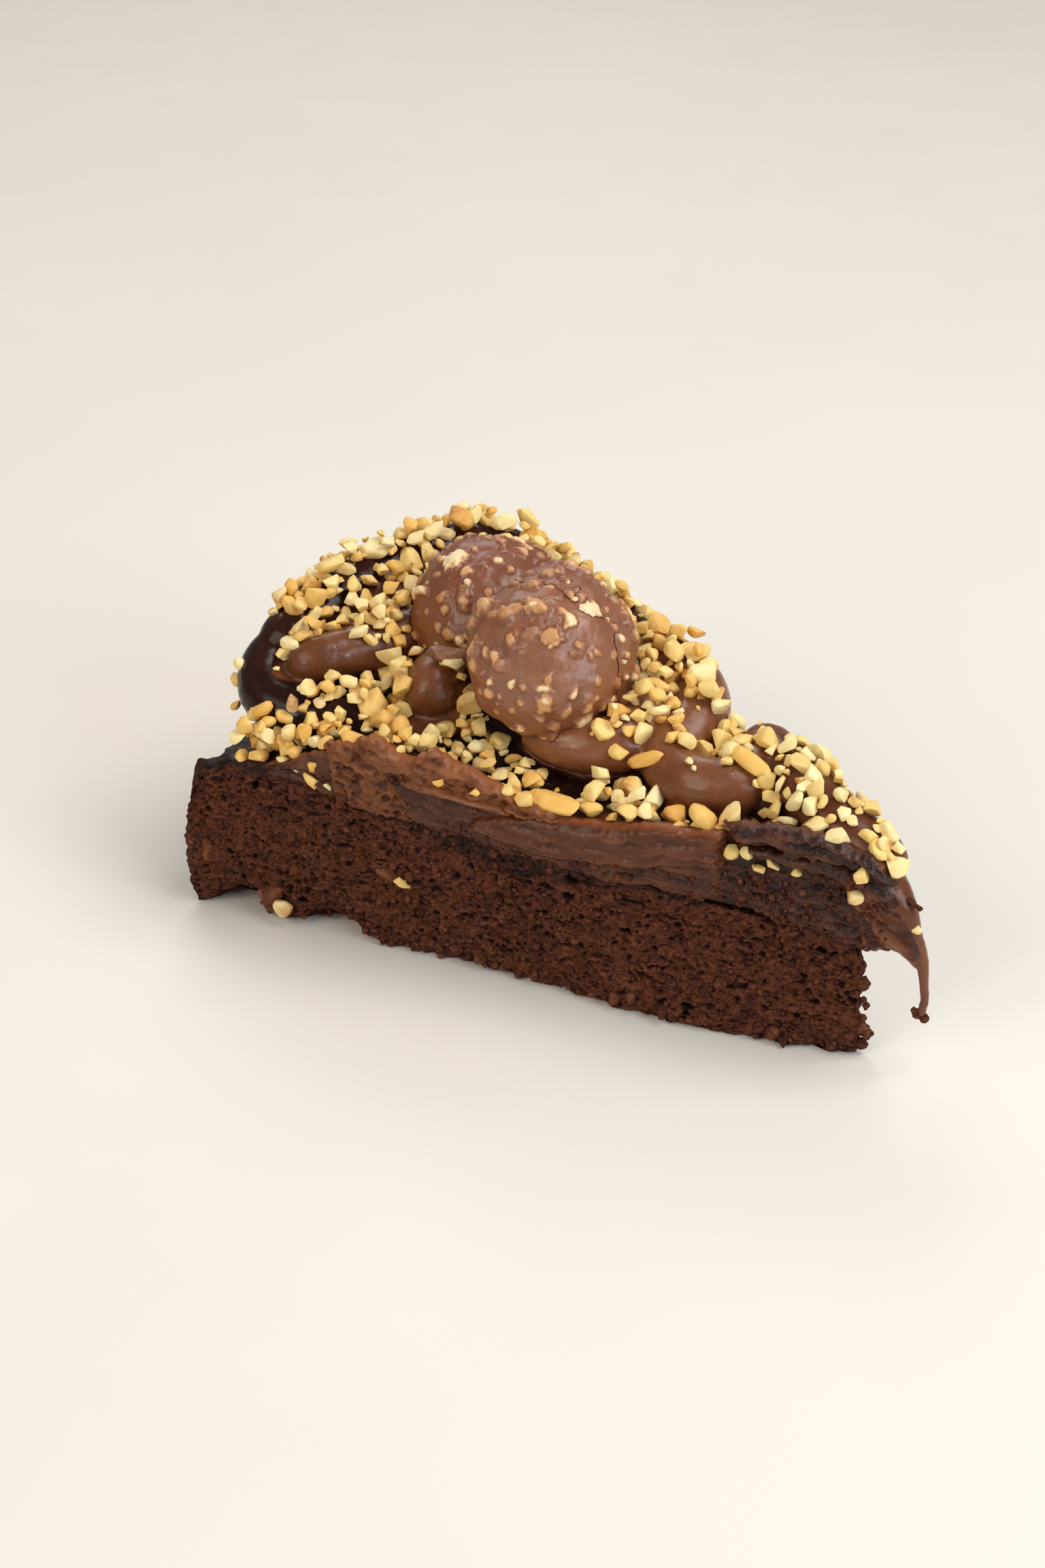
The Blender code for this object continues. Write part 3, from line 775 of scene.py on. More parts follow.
def make_brownie(material):
    outline = wedge_outline(0.0, CAKE_RADIUS, NEAR_STEPS, ARC_STEPS, FAR_STEPS)
    plan, normals = outline
    low, high = ragged_base(plan), brownie_top(*plan.T)
    height = low + (high - low) * np.linspace(0, 1, WALL_ROWS)[:, None]
    move, wall = brownie_detail(plan, height)
    relief = crumb_relief(plan, normals, height) + move
    shell = layer_shell(outline, low, high, WALL_ROWS, lambda *_: relief, brownie_top, lifted_base)
    rest = len(shell[0]) - height.size
    caps = np.full(rest, -0.1), np.zeros(rest), np.full(rest, 0.4)
    return make_layer("brownie_crumb", "brownie", shell, wall, caps, material)


def make_glaze(material):
    """The glaze's edge carries on the brownie's torn cuts, and its bare corner is lumpy with crumbs."""
    outline = wedge_outline(0.0, CAKE_RADIUS, NEAR_STEPS, ARC_STEPS, FAR_STEPS)
    plan, normals = outline
    low, high = brownie_top(*plan.T) + 0.00005, glaze_top(*plan.T)
    share = np.linspace(0, 1, GLAZE_ROWS)[:, None]
    height = low + (high - low) * share
    move, wall = brownie_detail(plan, height)
    relief = upper_relief(plan, normals) - np.where(on_crust(plan), 0.0018, 0.0006) * share ** 2 + move
    lumps = Noise(GLAZE_SEED)

    def top(along, across):
        rough = lumps(along / 0.0028, across / 0.0028) + 0.7 * lumps(along / 0.0011, across / 0.0011, 3.0)
        return glaze_top(along, across) - 0.0002 + 0.00026 * rough

    shell = layer_shell(outline, low, high, GLAZE_ROWS, lambda *_: relief, top, rings=GLAZE_RINGS)
    rest = shell[0][height.size:]
    specks = 0.9 * lumps.at(rest / 0.0012) + 0.3 * lumps.at(rest / 0.003)
    caps = specks, np.ones(len(rest)), np.zeros(len(rest))
    return make_layer("glaze_layer", "glaze", shell, wall, caps, material)


# ---------------------------------------------------------------- praline

# Each piece of shell: middle of its ball (along, across, height in mm), where it faces (azimuth from
# the along direction, and rise above level, in degrees), how far its edge is from its crown (degrees),
# and its radius as a share of PRALINE_RADIUS.
PRALINE_PIECES = {
    "praline_front": ((62.4, 21.0, 53.0), (-64, 38), 80, 0.965),
    "praline_back": ((45.3, 37.3, 50.5), (-112, 60), 75, 1.0),
    "praline_side": ((62.3, 25.6, 52.6), (-30, 42), 76, 1.0),
}

# Nut bits in the shell: how many; half width as a share of the radius (usual, its spread, and largest); and
# how much of one shows through the chocolate, with the chance of each.
PRALINE_BITS = 100
BIT_SIZES = (0.064, 0.4, 0.135)
BIT_SHOWN = (0.25, 0.45, 0.6, 0.75, 1.0)
BIT_CHANCES = (0.24, 0.28, 0.22, 0.14, 0.12)

# A flake of it: its place in mm, its size in metres, and its tilt in radians.
CHIP_PLACE = (44.2, 19.6, 51)
CHIP_SIZE = (0.0078, 0.0052, 0.0026)
CHIP_TILT = (1.15, 0.25, 0.15)


def praline_bits(draw, ways, edge, wobble):
    """Nut bits under the chocolate: how far each swells it, and how much of each shows through."""
    shown, swell = np.zeros(ways.shape[:2]), np.zeros(ways.shape[:2])
    usual, spread, largest = BIT_SIZES
    lowest = math.cos(math.radians(edge - 3))
    for _ in range(PRALINE_BITS):
        tilt, turn = math.acos(draw.uniform(lowest, 1)), draw.uniform(0, math.tau)
        way = np.array((math.sin(tilt) * math.cos(turn), math.sin(tilt) * math.sin(turn), math.cos(tilt)))
        size = min(largest, usual * math.exp(draw.normal() * spread))
        beside = np.cross(way, draw.normal(size=3))
        beside /= np.linalg.norm(beside)
        over = np.cross(way, beside)
        wide, high = size * draw.uniform(0.9, 1.4), size * draw.uniform(0.7, 1.0)
        off = ways - way
        away = np.sqrt((off @ beside / wide) ** 2 + (off @ over / high) ** 2 + (off @ way / size) ** 2)
        away = away * (1 + 0.45 * wobble)
        swell = np.maximum(swell, size * draw.uniform(0.3, 0.95) * smooth_step(1.35, 0.3, away))
        shown = np.maximum(shown, draw.choice(BIT_SHOWN, p=BIT_CHANCES) * smooth_step(1.05, 0.65, away))
    return shown, swell


def shell_front(name, size, edge):
    """A dome about its upright axis: (points in rings, how much nut shows, each ring's share of the way)."""
    shift = Vector((len(name) * 1.7, 3.1, 0.4))
    turns = math.tau * np.arange(PRALINE_STEPS) / PRALINE_STEPS
    ragged = np.array([noise.noise(Vector((math.cos(t), math.sin(t), 0)) * 2.2 + shift) for t in turns])
    chipped = Noise(len(name) + 100)
    chips = chipped(np.cos(turns) * 4, np.sin(turns) * 4, 7.0)
    chips = chips + 0.6 * chipped(np.cos(turns) * 11, np.sin(turns) * 11)
    shares = np.arange(1, PRALINE_RINGS + 1)[:, None] / PRALINE_RINGS
    polar = np.radians(edge + PRALINE_RAGGED * ragged + 2.6 * chips)[None] * shares
    ways = np.stack([np.sin(polar) * np.cos(turns), np.sin(polar) * np.sin(turns), np.cos(polar)], axis=-1)
    dents = np.array([noise.noise(Vector(w) * 3.5 + shift) for w in ways.reshape(-1, 3).tolist()])
    wobble = chipped.at(ways * 14)
    bits, swell = praline_bits(np.random.default_rng(len(name) + 7), ways, edge, wobble)
    big_lump, lump = chipped.at(ways * 1.7 + (0, 0, 5)), chipped.at(ways * 5.0)
    radius = size * (1 + 0.03 * dents.reshape(polar.shape) + 0.034 * big_lump + 0.01 * lump + swell - 0.04)
    radius = radius * (1 + 0.005 * wobble * (1 - bits))
    front = ways * radius[..., None] * (1 - smooth_step(0.975, 1.0, shares) * 0.025)[..., None]
    crown = np.array([[0.0, 0.0, radius[0].mean()]])
    broken_edge = 0.0005 * chipped(np.cos(turns) * 12, np.sin(turns) * 12, 3.0)[:, None]
    mid_rim = front[-1] * (1 + BACK_RIM) / 2 + broken_edge
    hollow = np.array([[0.0, 0.0, size * BACK_DEPTH]])
    points = np.concatenate([front.reshape(-1, 3), mid_rim, front[-1] * BACK_RIM, crown, hollow])
    return points, bits, shares


def upright_to(way):
    """Turns the upright axis to the way."""
    return Vector((0, 0, 1)).rotation_difference(way).to_matrix()


def make_shell(name):
    """A domed piece with a broken edge, nut bits under and through its chocolate, and a hollow back."""
    middle, facing, edge, share = PRALINE_PIECES[name]
    points, bits, shares = shell_front(name, PRALINE_RADIUS * share, edge)
    azimuth, rise = (math.radians(angle) for angle in facing)
    way = Vector((math.cos(azimuth) * math.cos(rise), math.sin(azimuth) * math.cos(rise), math.sin(rise)))
    points = points @ np.array(upright_to(way)).T + spot_mm(*middle)
    count, rows = PRALINE_STEPS, PRALINE_RINGS + 2
    faces = grid_faces(rows, count, wrap=True)
    crown = rows * count
    for i in range(count):
        j = (i + 1) % count
        faces.append((j, i, crown))
        faces.append((crown - count + i, crown - count + j, crown + 1))
    bits[-1] *= 0.5
    broken = np.broadcast_to(smooth_step(0.97, 1.0, shares), bits.shape)
    # Painted shade: the back piece is darker all over, the others darken towards their edges, and the hollow
    # back is darkest.
    deep = 1.0 if name == "praline_back" else 0.45 * smooth_step(0.35, 0.95, shares)
    back = 2 * count + 2
    values = {"bit": np.concatenate([bits.ravel(), np.zeros(back)]),
              "deep": np.concatenate([np.broadcast_to(deep, bits.shape).ravel(), np.ones(back)]),
              "broken": np.concatenate([broken.ravel() * 0.8, np.ones(2 * count), [0.0, 1.0]])}
    return add_shells(name + "_shell", [(points, faces, values)])


def make_chip(material):
    """A flake broken off the shell, caught between its pieces."""
    points, faces = chopped_kernel(random.Random(CHIP_SEED))
    rough = Noise(CHIP_ROUGH_SEED)
    points = points * (1 + 0.16 * rough.at(points * 5))[:, None] * CHIP_SIZE
    points = points @ np.array(Euler(CHIP_TILT).to_matrix()).T + spot_mm(*CHIP_PLACE)
    values = {"bit": 0.5 * np.clip(rough.at(points / 0.0012), 0, 1), "broken": 0.7}
    return dress(add_shells("praline_chip", [(points, faces, values)]), material)


def make_pralines(material):
    """The front piece lies whole against the two behind it, which give way where they would meet it."""
    front, back, side = [make_shell(name) for name in PRALINE_PIECES]
    cut(back, grown_copy(front))
    cut(side, grown_copy(front))
    cut(side, grown_copy(back))
    for piece, name in zip((front, back, side), PRALINE_PIECES):
        dress(piece, material, name)
    return [front, back, side]


# ---------------------------------------------------------------- frosting

# Each rope's centre line as (along, across, height in mm, thickness as a share of ROPE).
ROPES = {
    "rim_lower": [
        (12, 12, 37, 0.95), (12, 22, 37.5, 1.05), (14.5, 31, 38, 1.1), (20, 45, 38, 1.1),
        (27, 59.5, 38.5, 1.1), (35, 67, 38.5, 1.05), (45, 64.5, 39, 1), (56, 56, 40, 1),
        (66, 47.5, 40.5, 1),
    ],
    "rim_upper": [
        (10.5, 17, 45, 0.9), (11, 25, 46.5, 1), (14, 34, 48, 1.05), (19, 46, 49.3, 1.05),
        (26, 57, 49.8, 1.05), (34.5, 63, 49, 1.05), (44, 61, 47.5, 1.05), (54, 55.5, 46.5, 1),
        (64, 49, 45.5, 1), (73, 42.5, 45.5, 0.95),
    ],
    "corner_turn": [
        (11, 25, 45.5, 0.9), (8.8, 17.5, 42.6, 0.9), (11.5, 12, 40.2, 0.85), (18, 10.5, 39, 0.85),
        (27, 12.5, 39, 0.8), (34, 15, 38.5, 0.7),
    ],
    "left_nose": [
        (14.2, 15.4, 45, 0.68), (19.8, 18.4, 46.2, 0.76), (26, 24.6, 46.6, 0.86), (31.5, 31, 46.4, 0.96),
        (37, 38, 46, 1), (40, 47, 46.5, 1), (34, 52, 47, 1), (26, 46, 47, 1), (22, 36, 46.5, 0.9),
    ],
    "middle_lobe": [
        (44, 14.8, 41.6, 0.92), (41.4, 21, 44, 1), (43, 32, 43.5, 1), (51, 41, 42, 1), (60, 39, 42, 1),
        (66, 30, 41, 0.9),
    ],
    "praline_bed": [
        (36, 42, 46, 1.1), (44, 41, 49, 1.35), (54, 37, 49, 1.35), (62, 33, 47.5, 1.2), (70, 30, 45, 1),
    ],
    "pulled_end": [
        (60.5, 14.5, 40.5, 0.2), (66, 14, 41.2, 0.62), (73, 14.3, 41.6, 0.86), (80, 18.5, 41.8, 0.95),
        (80, 28, 42, 1), (76, 37, 43.5, 1), (71, 43, 44.5, 0.95),
    ],
    "far_foot": [
        (70, 40, 40, 0.9), (84, 32.5, 39, 0.9), (96, 24, 38.5, 0.9), (108, 14.5, 37.5, 0.9),
        (120, 6, 35.5, 0.9),
    ],
    "zigzag": [
        (73, 41, 45, 0.9), (80, 39, 45.5, 1), (86, 34.5, 44, 1), (88.8, 27, 42.3, 1),
        (87.5, 19, 41, 0.92), (89, 14.6, 40.2, 0.88), (95, 11.6, 40, 0.92), (101.6, 12.2, 40.4, 0.88),
        (104.5, 17, 40.8, 0.9), (101, 22, 41, 0.9),
    ],
    "tip_run": [
        (98, 24.5, 41, 0.8), (103.5, 23.5, 41.5, 0.9), (110, 16.5, 41.5, 0.95), (116.5, 11, 40.7, 0.95),
        (123.5, 6.8, 38.8, 0.95), (129.6, 4.6, 36.7, 0.88), (133.4, 3, 34.4, 0.72),
    ],
    "tip_core": [
        (124, 3.2, 30, 0.6), (128, 2.7, 27.2, 0.56), (131, 2.3, 25.6, 0.45), (133.5, 2, 25, 0.36),
        (136, 1.5, 24.8, 0.28),
    ],
    "tip_drip": [
        (125, 4, 33.5, 0.85), (131, 3, 32.4, 0.76), (134.4, 2, 30, 0.5), (136.6, 1.4, 26, 0.34),
        (138.8, 1.1, 21.3, 0.22), (139.5, 1, 17, 0.16), (139.8, 1, 13, 0.14), (139.4, 1, 10.4, 0.15),
        (139.1, 1, 9.6, 0.22),
    ],
}

# How milky each rope is, from black to milk brown; the low values of the rim and corner ropes are painted
# shade.
ROPE_MILK = {
    "rim_lower": 0.1, "rim_upper": 0.16, "corner_turn": 0.05, "left_nose": 0.67, "middle_lobe": 0.72,
    "praline_bed": 0.25, "pulled_end": 0.9, "far_foot": 0.25, "zigzag": 0.8, "tip_run": 0.6, "tip_drip": 0.66,
    "tip_core": 0.45,
}

# How much farther off a milky rope counts, so that a dark one beside it keeps its colour.
MILKY_SETBACK = 0.0006

# Greasy spots on the ropes, which catch the light: (along, across, height, reach in mm).
WET_SPOTS = [(46.6, 15.6, 45.5, 4.6), (24, 16.6, 49, 4), (70, 12.6, 44, 3.4), (101, 10.4, 43, 4)]


def rope_path(points):
    return smooth_path([(x * MM, y * MM, z * MM, share) for x, y, z, share in points], ROPE_STEP)


def rope(name, points):
    """A round rope of frosting along the path, with domed ends."""
    path = rope_path(points)
    steps = [float(np.linalg.norm((b - a)[:3])) for a, b in zip(path, path[1:])]
    lengths = [0.0, *itertools.accumulate(steps)]
    curve = bpy.data.curves.new(name, "CURVE")
    curve.dimensions = "3D"
    curve.bevel_depth = 1.0
    curve.bevel_resolution = 8
    curve.use_fill_caps = True
    spline = curve.splines.new("POLY")
    spline.points.add(len(path) - 1)
    for point, knot, length in zip(spline.points, path, lengths):
        radius = ROPE * float(knot[3])
        from_end = min(length, lengths[-1] - length)
        dome = math.sqrt(max(0.05, 1 - (1 - min(1.0, from_end / radius)) ** 2))
        point.co = (*place(*knot[:3]), 1.0)
        point.radius = radius * dome
    made = add_object(name, curve)
    tube = bpy.data.meshes.new_from_object(made)
    bpy.data.objects.remove(made)
    return add_object(name, tube)


def coat_outline():
    """The coat covers the glaze but for the crust corner beside the near cut."""
    points, normals = wedge_outline(GAP, CAKE_RADIUS - COAT_RIM_INSET, *COAT_STEPS)
    corner = smooth_step(0.034, 0.012, points[:, 0]) * smooth_step(0.03, 0.0, points[:, 1])
    return points + corner[:, None] * (0.003, 0.006), normals


def shell_object(name, outline, low_of, high_of, rows, relief):
    """A closed body over the outline, from one height to another."""
    low, high = low_of(*outline[0].T), high_of(*outline[0].T)
    return add_shells(name, [(*layer_shell(outline, low, high, rows, relief, high_of), {})])


def join_meshes(name, pieces):
    mesh = bmesh.new()
    for piece in pieces:
        mesh.from_mesh(piece.data)
        bpy.data.objects.remove(piece)
    return add_object(name, mesh)


def rope_reach(points):
    """For each point: how far it is outside its nearest rope, and that rope's milkiness."""
    outside, closest = np.full(len(points), 1.0), np.full(len(points), 1.0)
    milk = np.zeros(len(points))
    for name, knots in ROPES.items():
        path = np.array(rope_path(knots))
        centres = place_all(*path[:, :3].T)
        away = np.linalg.norm(points[:, None] - centres[None], axis=2) - ROPE * path[None, :, 3]
        nearest = away.min(axis=1)
        outside = np.minimum(outside, nearest)
        weighed = nearest + (MILKY_SETBACK if ROPE_MILK[name] > 0.5 and name != "left_nose" else 0.0)
        closer = weighed < closest
        closest = np.where(closer, weighed, closest)
        milk = np.where(closer, ROPE_MILK[name], milk)
    return outside, milk


def smoothed(data, values, rounds):
    """Values at the mesh's points, averaged with their neighbours."""
    ends = np.empty(len(data.edges) * 2, np.int32)
    data.edges.foreach_get("vertices", ends)
    a, b = ends.reshape(-1, 2).T
    count = np.bincount(a, minlength=len(values)) + np.bincount(b, minlength=len(values))
    count = np.maximum(count, 1)
    size = len(values)
    table = values.reshape(size, -1)
    for _ in range(rounds):
        sums = [np.bincount(a, line[b], size) + np.bincount(b, line[a], size) for line in table.T]
        table = 0.5 * table + 0.5 * np.stack(sums, axis=1) / count[:, None]
    return table.reshape(values.shape)


def smooth_wall(plan, normals, height):
    """No relief, for the coat, which is softened anyway."""
    return np.zeros(height.shape)


def torn_wall(plan, normals, height):
    """The same relief at every height, for the body that is cut away below the frosting."""
    return np.broadcast_to(upper_relief(plan, normals), height.shape)


def ground(along, across):
    """The floor's height."""
    return np.zeros(len(along))


def melted_body(pralines):
    """Coat and ropes melt into one body, which makes room for the praline and lies on the glaze."""
    coat = shell_object("coat", coat_outline(), frosting_floor, coat_top, COAT_ROWS, smooth_wall)
    body = join_meshes("frosting_body", [coat] + [rope(name, points) for name, points in ROPES.items()])
    melt = body.modifiers.new("melt", "REMESH")
    melt.mode = "VOXEL"
    melt.voxel_size = VOXEL
    body.modifiers.new("soften", "SMOOTH").iterations = SOFTENING
    apply_modifiers(body)
    for piece in pralines:
        cut(body, grown_copy(piece))
    outline = wedge_outline(0.0, CAKE_RADIUS, *COAT_STEPS)
    cut(body, shell_object("below", outline, ground, frosting_floor, 2, torn_wall))
    return body


def greasy_spots(points, mottle):
    """How greasy each point is, with the spots broken up by the mottle noise."""
    greasy = np.zeros(len(points))
    broken_up = np.clip(0.75 + 0.35 * mottle.at(points / 0.0009), 0, 1)
    for *spot, size in WET_SPOTS:
        away = np.linalg.norm(points - spot_mm(*spot), axis=1)
        greasy = np.maximum(greasy, smooth_step(size * MM, 0.45 * size * MM, away) * broken_up)
    return greasy


def crumbly_ledge(along, across):
    """Where the coat's edge beside the near cut is crumbly and milky."""
    ledge = smooth_step(0.0052, 0.0022, across) * smooth_step(0.046, 0.058, along)
    return ledge * smooth_step(0.108, 0.1, along)


def frosting_relief(points, on_rope, crinkle, drag):
    """How far each point moves out: softly on the ropes, and crinkled in between."""
    crinkled = 0.0003 * np.abs(crinkle.at(points / 0.0017)) + 0.00012 * crinkle.at(points / 0.0008)
    soft = 0.00022 * drag.at(points / 0.006) + 0.00005 * drag.at(points / 0.0016)
    floor = frosting_floor(points[:, 0] + ORIGIN_ALONG, points[:, 1] + ORIGIN_ACROSS)
    clear = smooth_step(0.0004, 0.0012, points[:, 2] - floor)
    return ((1 - on_rope) * crinkled + on_rope * soft) * clear


def make_frosting(pralines, material):
    """Smooth milky ropes, crinkled dark frosting in between, a crumbly ledge, a few greasy spots, and painted
    shade in hollows.
    """
    body = melted_body(pralines)
    data = body.data
    points, normals = read_vertices(data, "co"), read_vertices(data, "normal")
    outside, milk = rope_reach(points)
    on_rope = smooth_step(0.0011, 0.0001, smoothed(data, outside, 3))
    hollow = smoothed(data, np.sum((smoothed(data, points, 12) - points) * normals, axis=1), 2)
    crinkle, drag = Noise(CRINKLE_SEED), Noise(DRAG_SEED)
    push_out(data, frosting_relief(points, on_rope, crinkle, drag)[:, None])
    ledge = crumbly_ledge(points[:, 0] + ORIGIN_ALONG, points[:, 1] + ORIGIN_ACROSS)
    ledge = ledge * smooth_step(-0.6, 0.3, crinkle.at(points / 0.0035)) * (1 - on_rope)
    milkiness = on_rope * (milk + 0.1 * drag.at(points / 0.009)) + (1 - on_rope) * 0.03
    # Painted shade: the frosting is darkened in its hollows.
    milkiness -= smooth_step(0.00012, 0.00075, hollow) * 0.65
    milkiness = smoothed(data, milkiness + 0.52 * ledge, 3)
    greasy = greasy_spots(points, crinkle)
    milk = np.clip(milkiness, 0, 1)
    looks = {
        "milk": milk,
        "wet": np.clip(1 - on_rope * smooth_step(0.15, 0.7, milkiness) + greasy, 0, 1),
        "shine": 0.55 - 0.2 * on_rope + 0.6 * on_rope * milk - 0.3 * ledge + 1.3 * greasy,
        "crinkle": np.clip(1 - on_rope + 0.5 * greasy, 0, 1),
        "speck": 0.6 * ledge * smooth_step(0.2, 0.7, crinkle.at(points / 0.0013)),
    }
    for name, values in looks.items():
        set_attribute(data, name, values)
    data.shade_smooth()
    return dress(body, material, "frosting")


# ---------------------------------------------------------------- smears on the cuts

def smear_grid(wander, top, bottom, ragged):
    """A grid between two ragged lines: (length, share along, share up, along, height, height above foot)."""
    length = (max(top[-1][0], bottom[-1][0]) - min(top[0][0], bottom[0][0])) * MM
    share = np.linspace(0, 1, max(8, round(length / SMEAR_STEP)))
    top_along, top_height = (v * MM for v in line_through(top, share))
    low_along, low_height = (v * MM for v in line_through(bottom, share))
    tallest = float(np.max(np.hypot(top_along - low_along, top_height - low_height)))
    level = np.linspace(0, 1, max(10, round(tallest / SMEAR_STEP)))[:, None]
    jag = ragged * MM
    top_height = top_height + jag * (wander(top_along / 0.004, 1.0) + 0.7 * wander(top_along / 0.0013, 2.0))
    low_height = low_height + jag * (wander(low_along / 0.005, 5.0) + 0.7 * wander(low_along / 0.0013, 6.0))
    end_jag = jag * 1.8 * (wander(level / 0.16, 8.0) + 0.7 * wander(level / 0.06, 9.0))
    along = low_along + (top_along - low_along) * level
    along = along + end_jag * (smooth_step(0.9, 1.0, share) + smooth_step(0.1, 0.0, share))
    height = low_height + (top_height - low_height) * level
    return length, share, level, along, height, height - low_height


def sheet_faces(rows, columns):
    """Faces of a front grid, of the same grid behind it, and of the rim that joins them."""
    other = rows * columns
    faces = grid_faces(rows, columns)
    faces += [tuple(v + other for v in reversed(f)) for f in faces]
    rim = [(0, c) for c in range(columns)] + [(r, columns - 1) for r in range(1, rows)]
    rim += [(rows - 1, c) for c in range(columns - 2, -1, -1)] + [(r, 0) for r in range(rows - 2, 0, -1)]
    rim = [r * columns + c for r, c in rim]
    return faces + [(a, b, b + other, a + other) for a, b in zip(rim, rim[-1:] + rim[:-1])]


def smear(side, top, bottom, proud, seed, milk, wet=0.5, ragged=0.4, streak=0.3, lump=0.4, torn=0.0,
          sharp=4.0, speck=0.0, back=1.2, crinkle=0.5, contrast=0.13, folds=0.0, fall=0.0):
    """A layer dragged along a cut by the knife, between two lines of (along, height). Sizes are in mm."""
    wander = Noise(seed)
    length, share, level, along, height, above = smear_grid(wander, top, bottom, ragged)

    def wavy(wide, high, shift, up=height):
        return wander(along / wide, up / high, shift)

    flat = np.clip(1 - np.abs(2 * level - 1) ** sharp, 0, 1) ** 0.7
    ends = smooth_step(0, 0.0022 / length, share) * smooth_step(1, 1 - 0.001 / length, share)
    streaks = wavy(0.01, 0.001, 3.0, above) + 0.6 * wavy(0.005, 0.0005, 4.0, above)
    ridges = 1 - 2.6 * np.abs(wavy(0.012, 0.0019, 21.0, above)) + 0.5 * wavy(0.005, 0.0007, 22.0, above)
    streaks = (1 - folds) * streaks + folds * ridges
    swell = wavy(0.005, 0.0026, 11.0) + 0.5 * wavy(0.0018, 0.0012, 12.0)
    grain = wavy(0.0009, 0.0007, 14.0)
    pits = smooth_step(0.1, 0.75, wavy(0.0026, 0.0012, 17.0) + 0.5 * grain)
    relief = streak * streaks + lump * swell * 0.6 + torn * (0.35 * grain - pits)
    depth = MM * (proud + relief) * flat * ends - 0.0003 * (1 - flat * ends)
    front = on_cut(side, along, depth, height)
    rear = on_cut(side, along, np.minimum(-back * MM, depth - 0.0004), height)
    points = np.concatenate([front.reshape(-1, 3), rear.reshape(-1, 3)])
    # edge is orange-brown on the thin rims, partly the thin chocolate's own colour and partly painted rim
    # light, and a painted highlight on the streaks' crests.
    edge = np.maximum(smooth_step(0.86, 1.0, np.abs(2 * level - 1)), smooth_step(0.6, 0.0, ends))
    edge = np.maximum(edge, min(1.0, 3.0 * contrast) * smooth_step(0.45, 1.0, streaks))
    # Painted light: lighter on the streaks' crests and on swells, darker in the troughs and the torn pits.
    colour = milk + contrast * streaks + 0.12 * swell
    colour = colour - torn * 0.35 * pits + torn * 0.1 * grain + fall * (0.5 - level)
    specks = smooth_step(0.15, 0.6, grain + 0.4 * swell + 0.5 * (1 - 2 * level))
    looks = {"milk": np.clip(colour, 0, 1), "wet": np.clip(wet + 0.25 * swell, 0, 1),
             "shine": 0.22 + 0.42 * wet, "crinkle": crinkle, "speck": np.clip(specks * speck, 0, 1),
             "edge": edge * np.clip(milk * 1.6, 0, 1)}
    values = {name: np.tile(np.broadcast_to(look, along.shape).ravel(), 2) for name, look in looks.items()}
    return points, sheet_faces(*along.shape), values


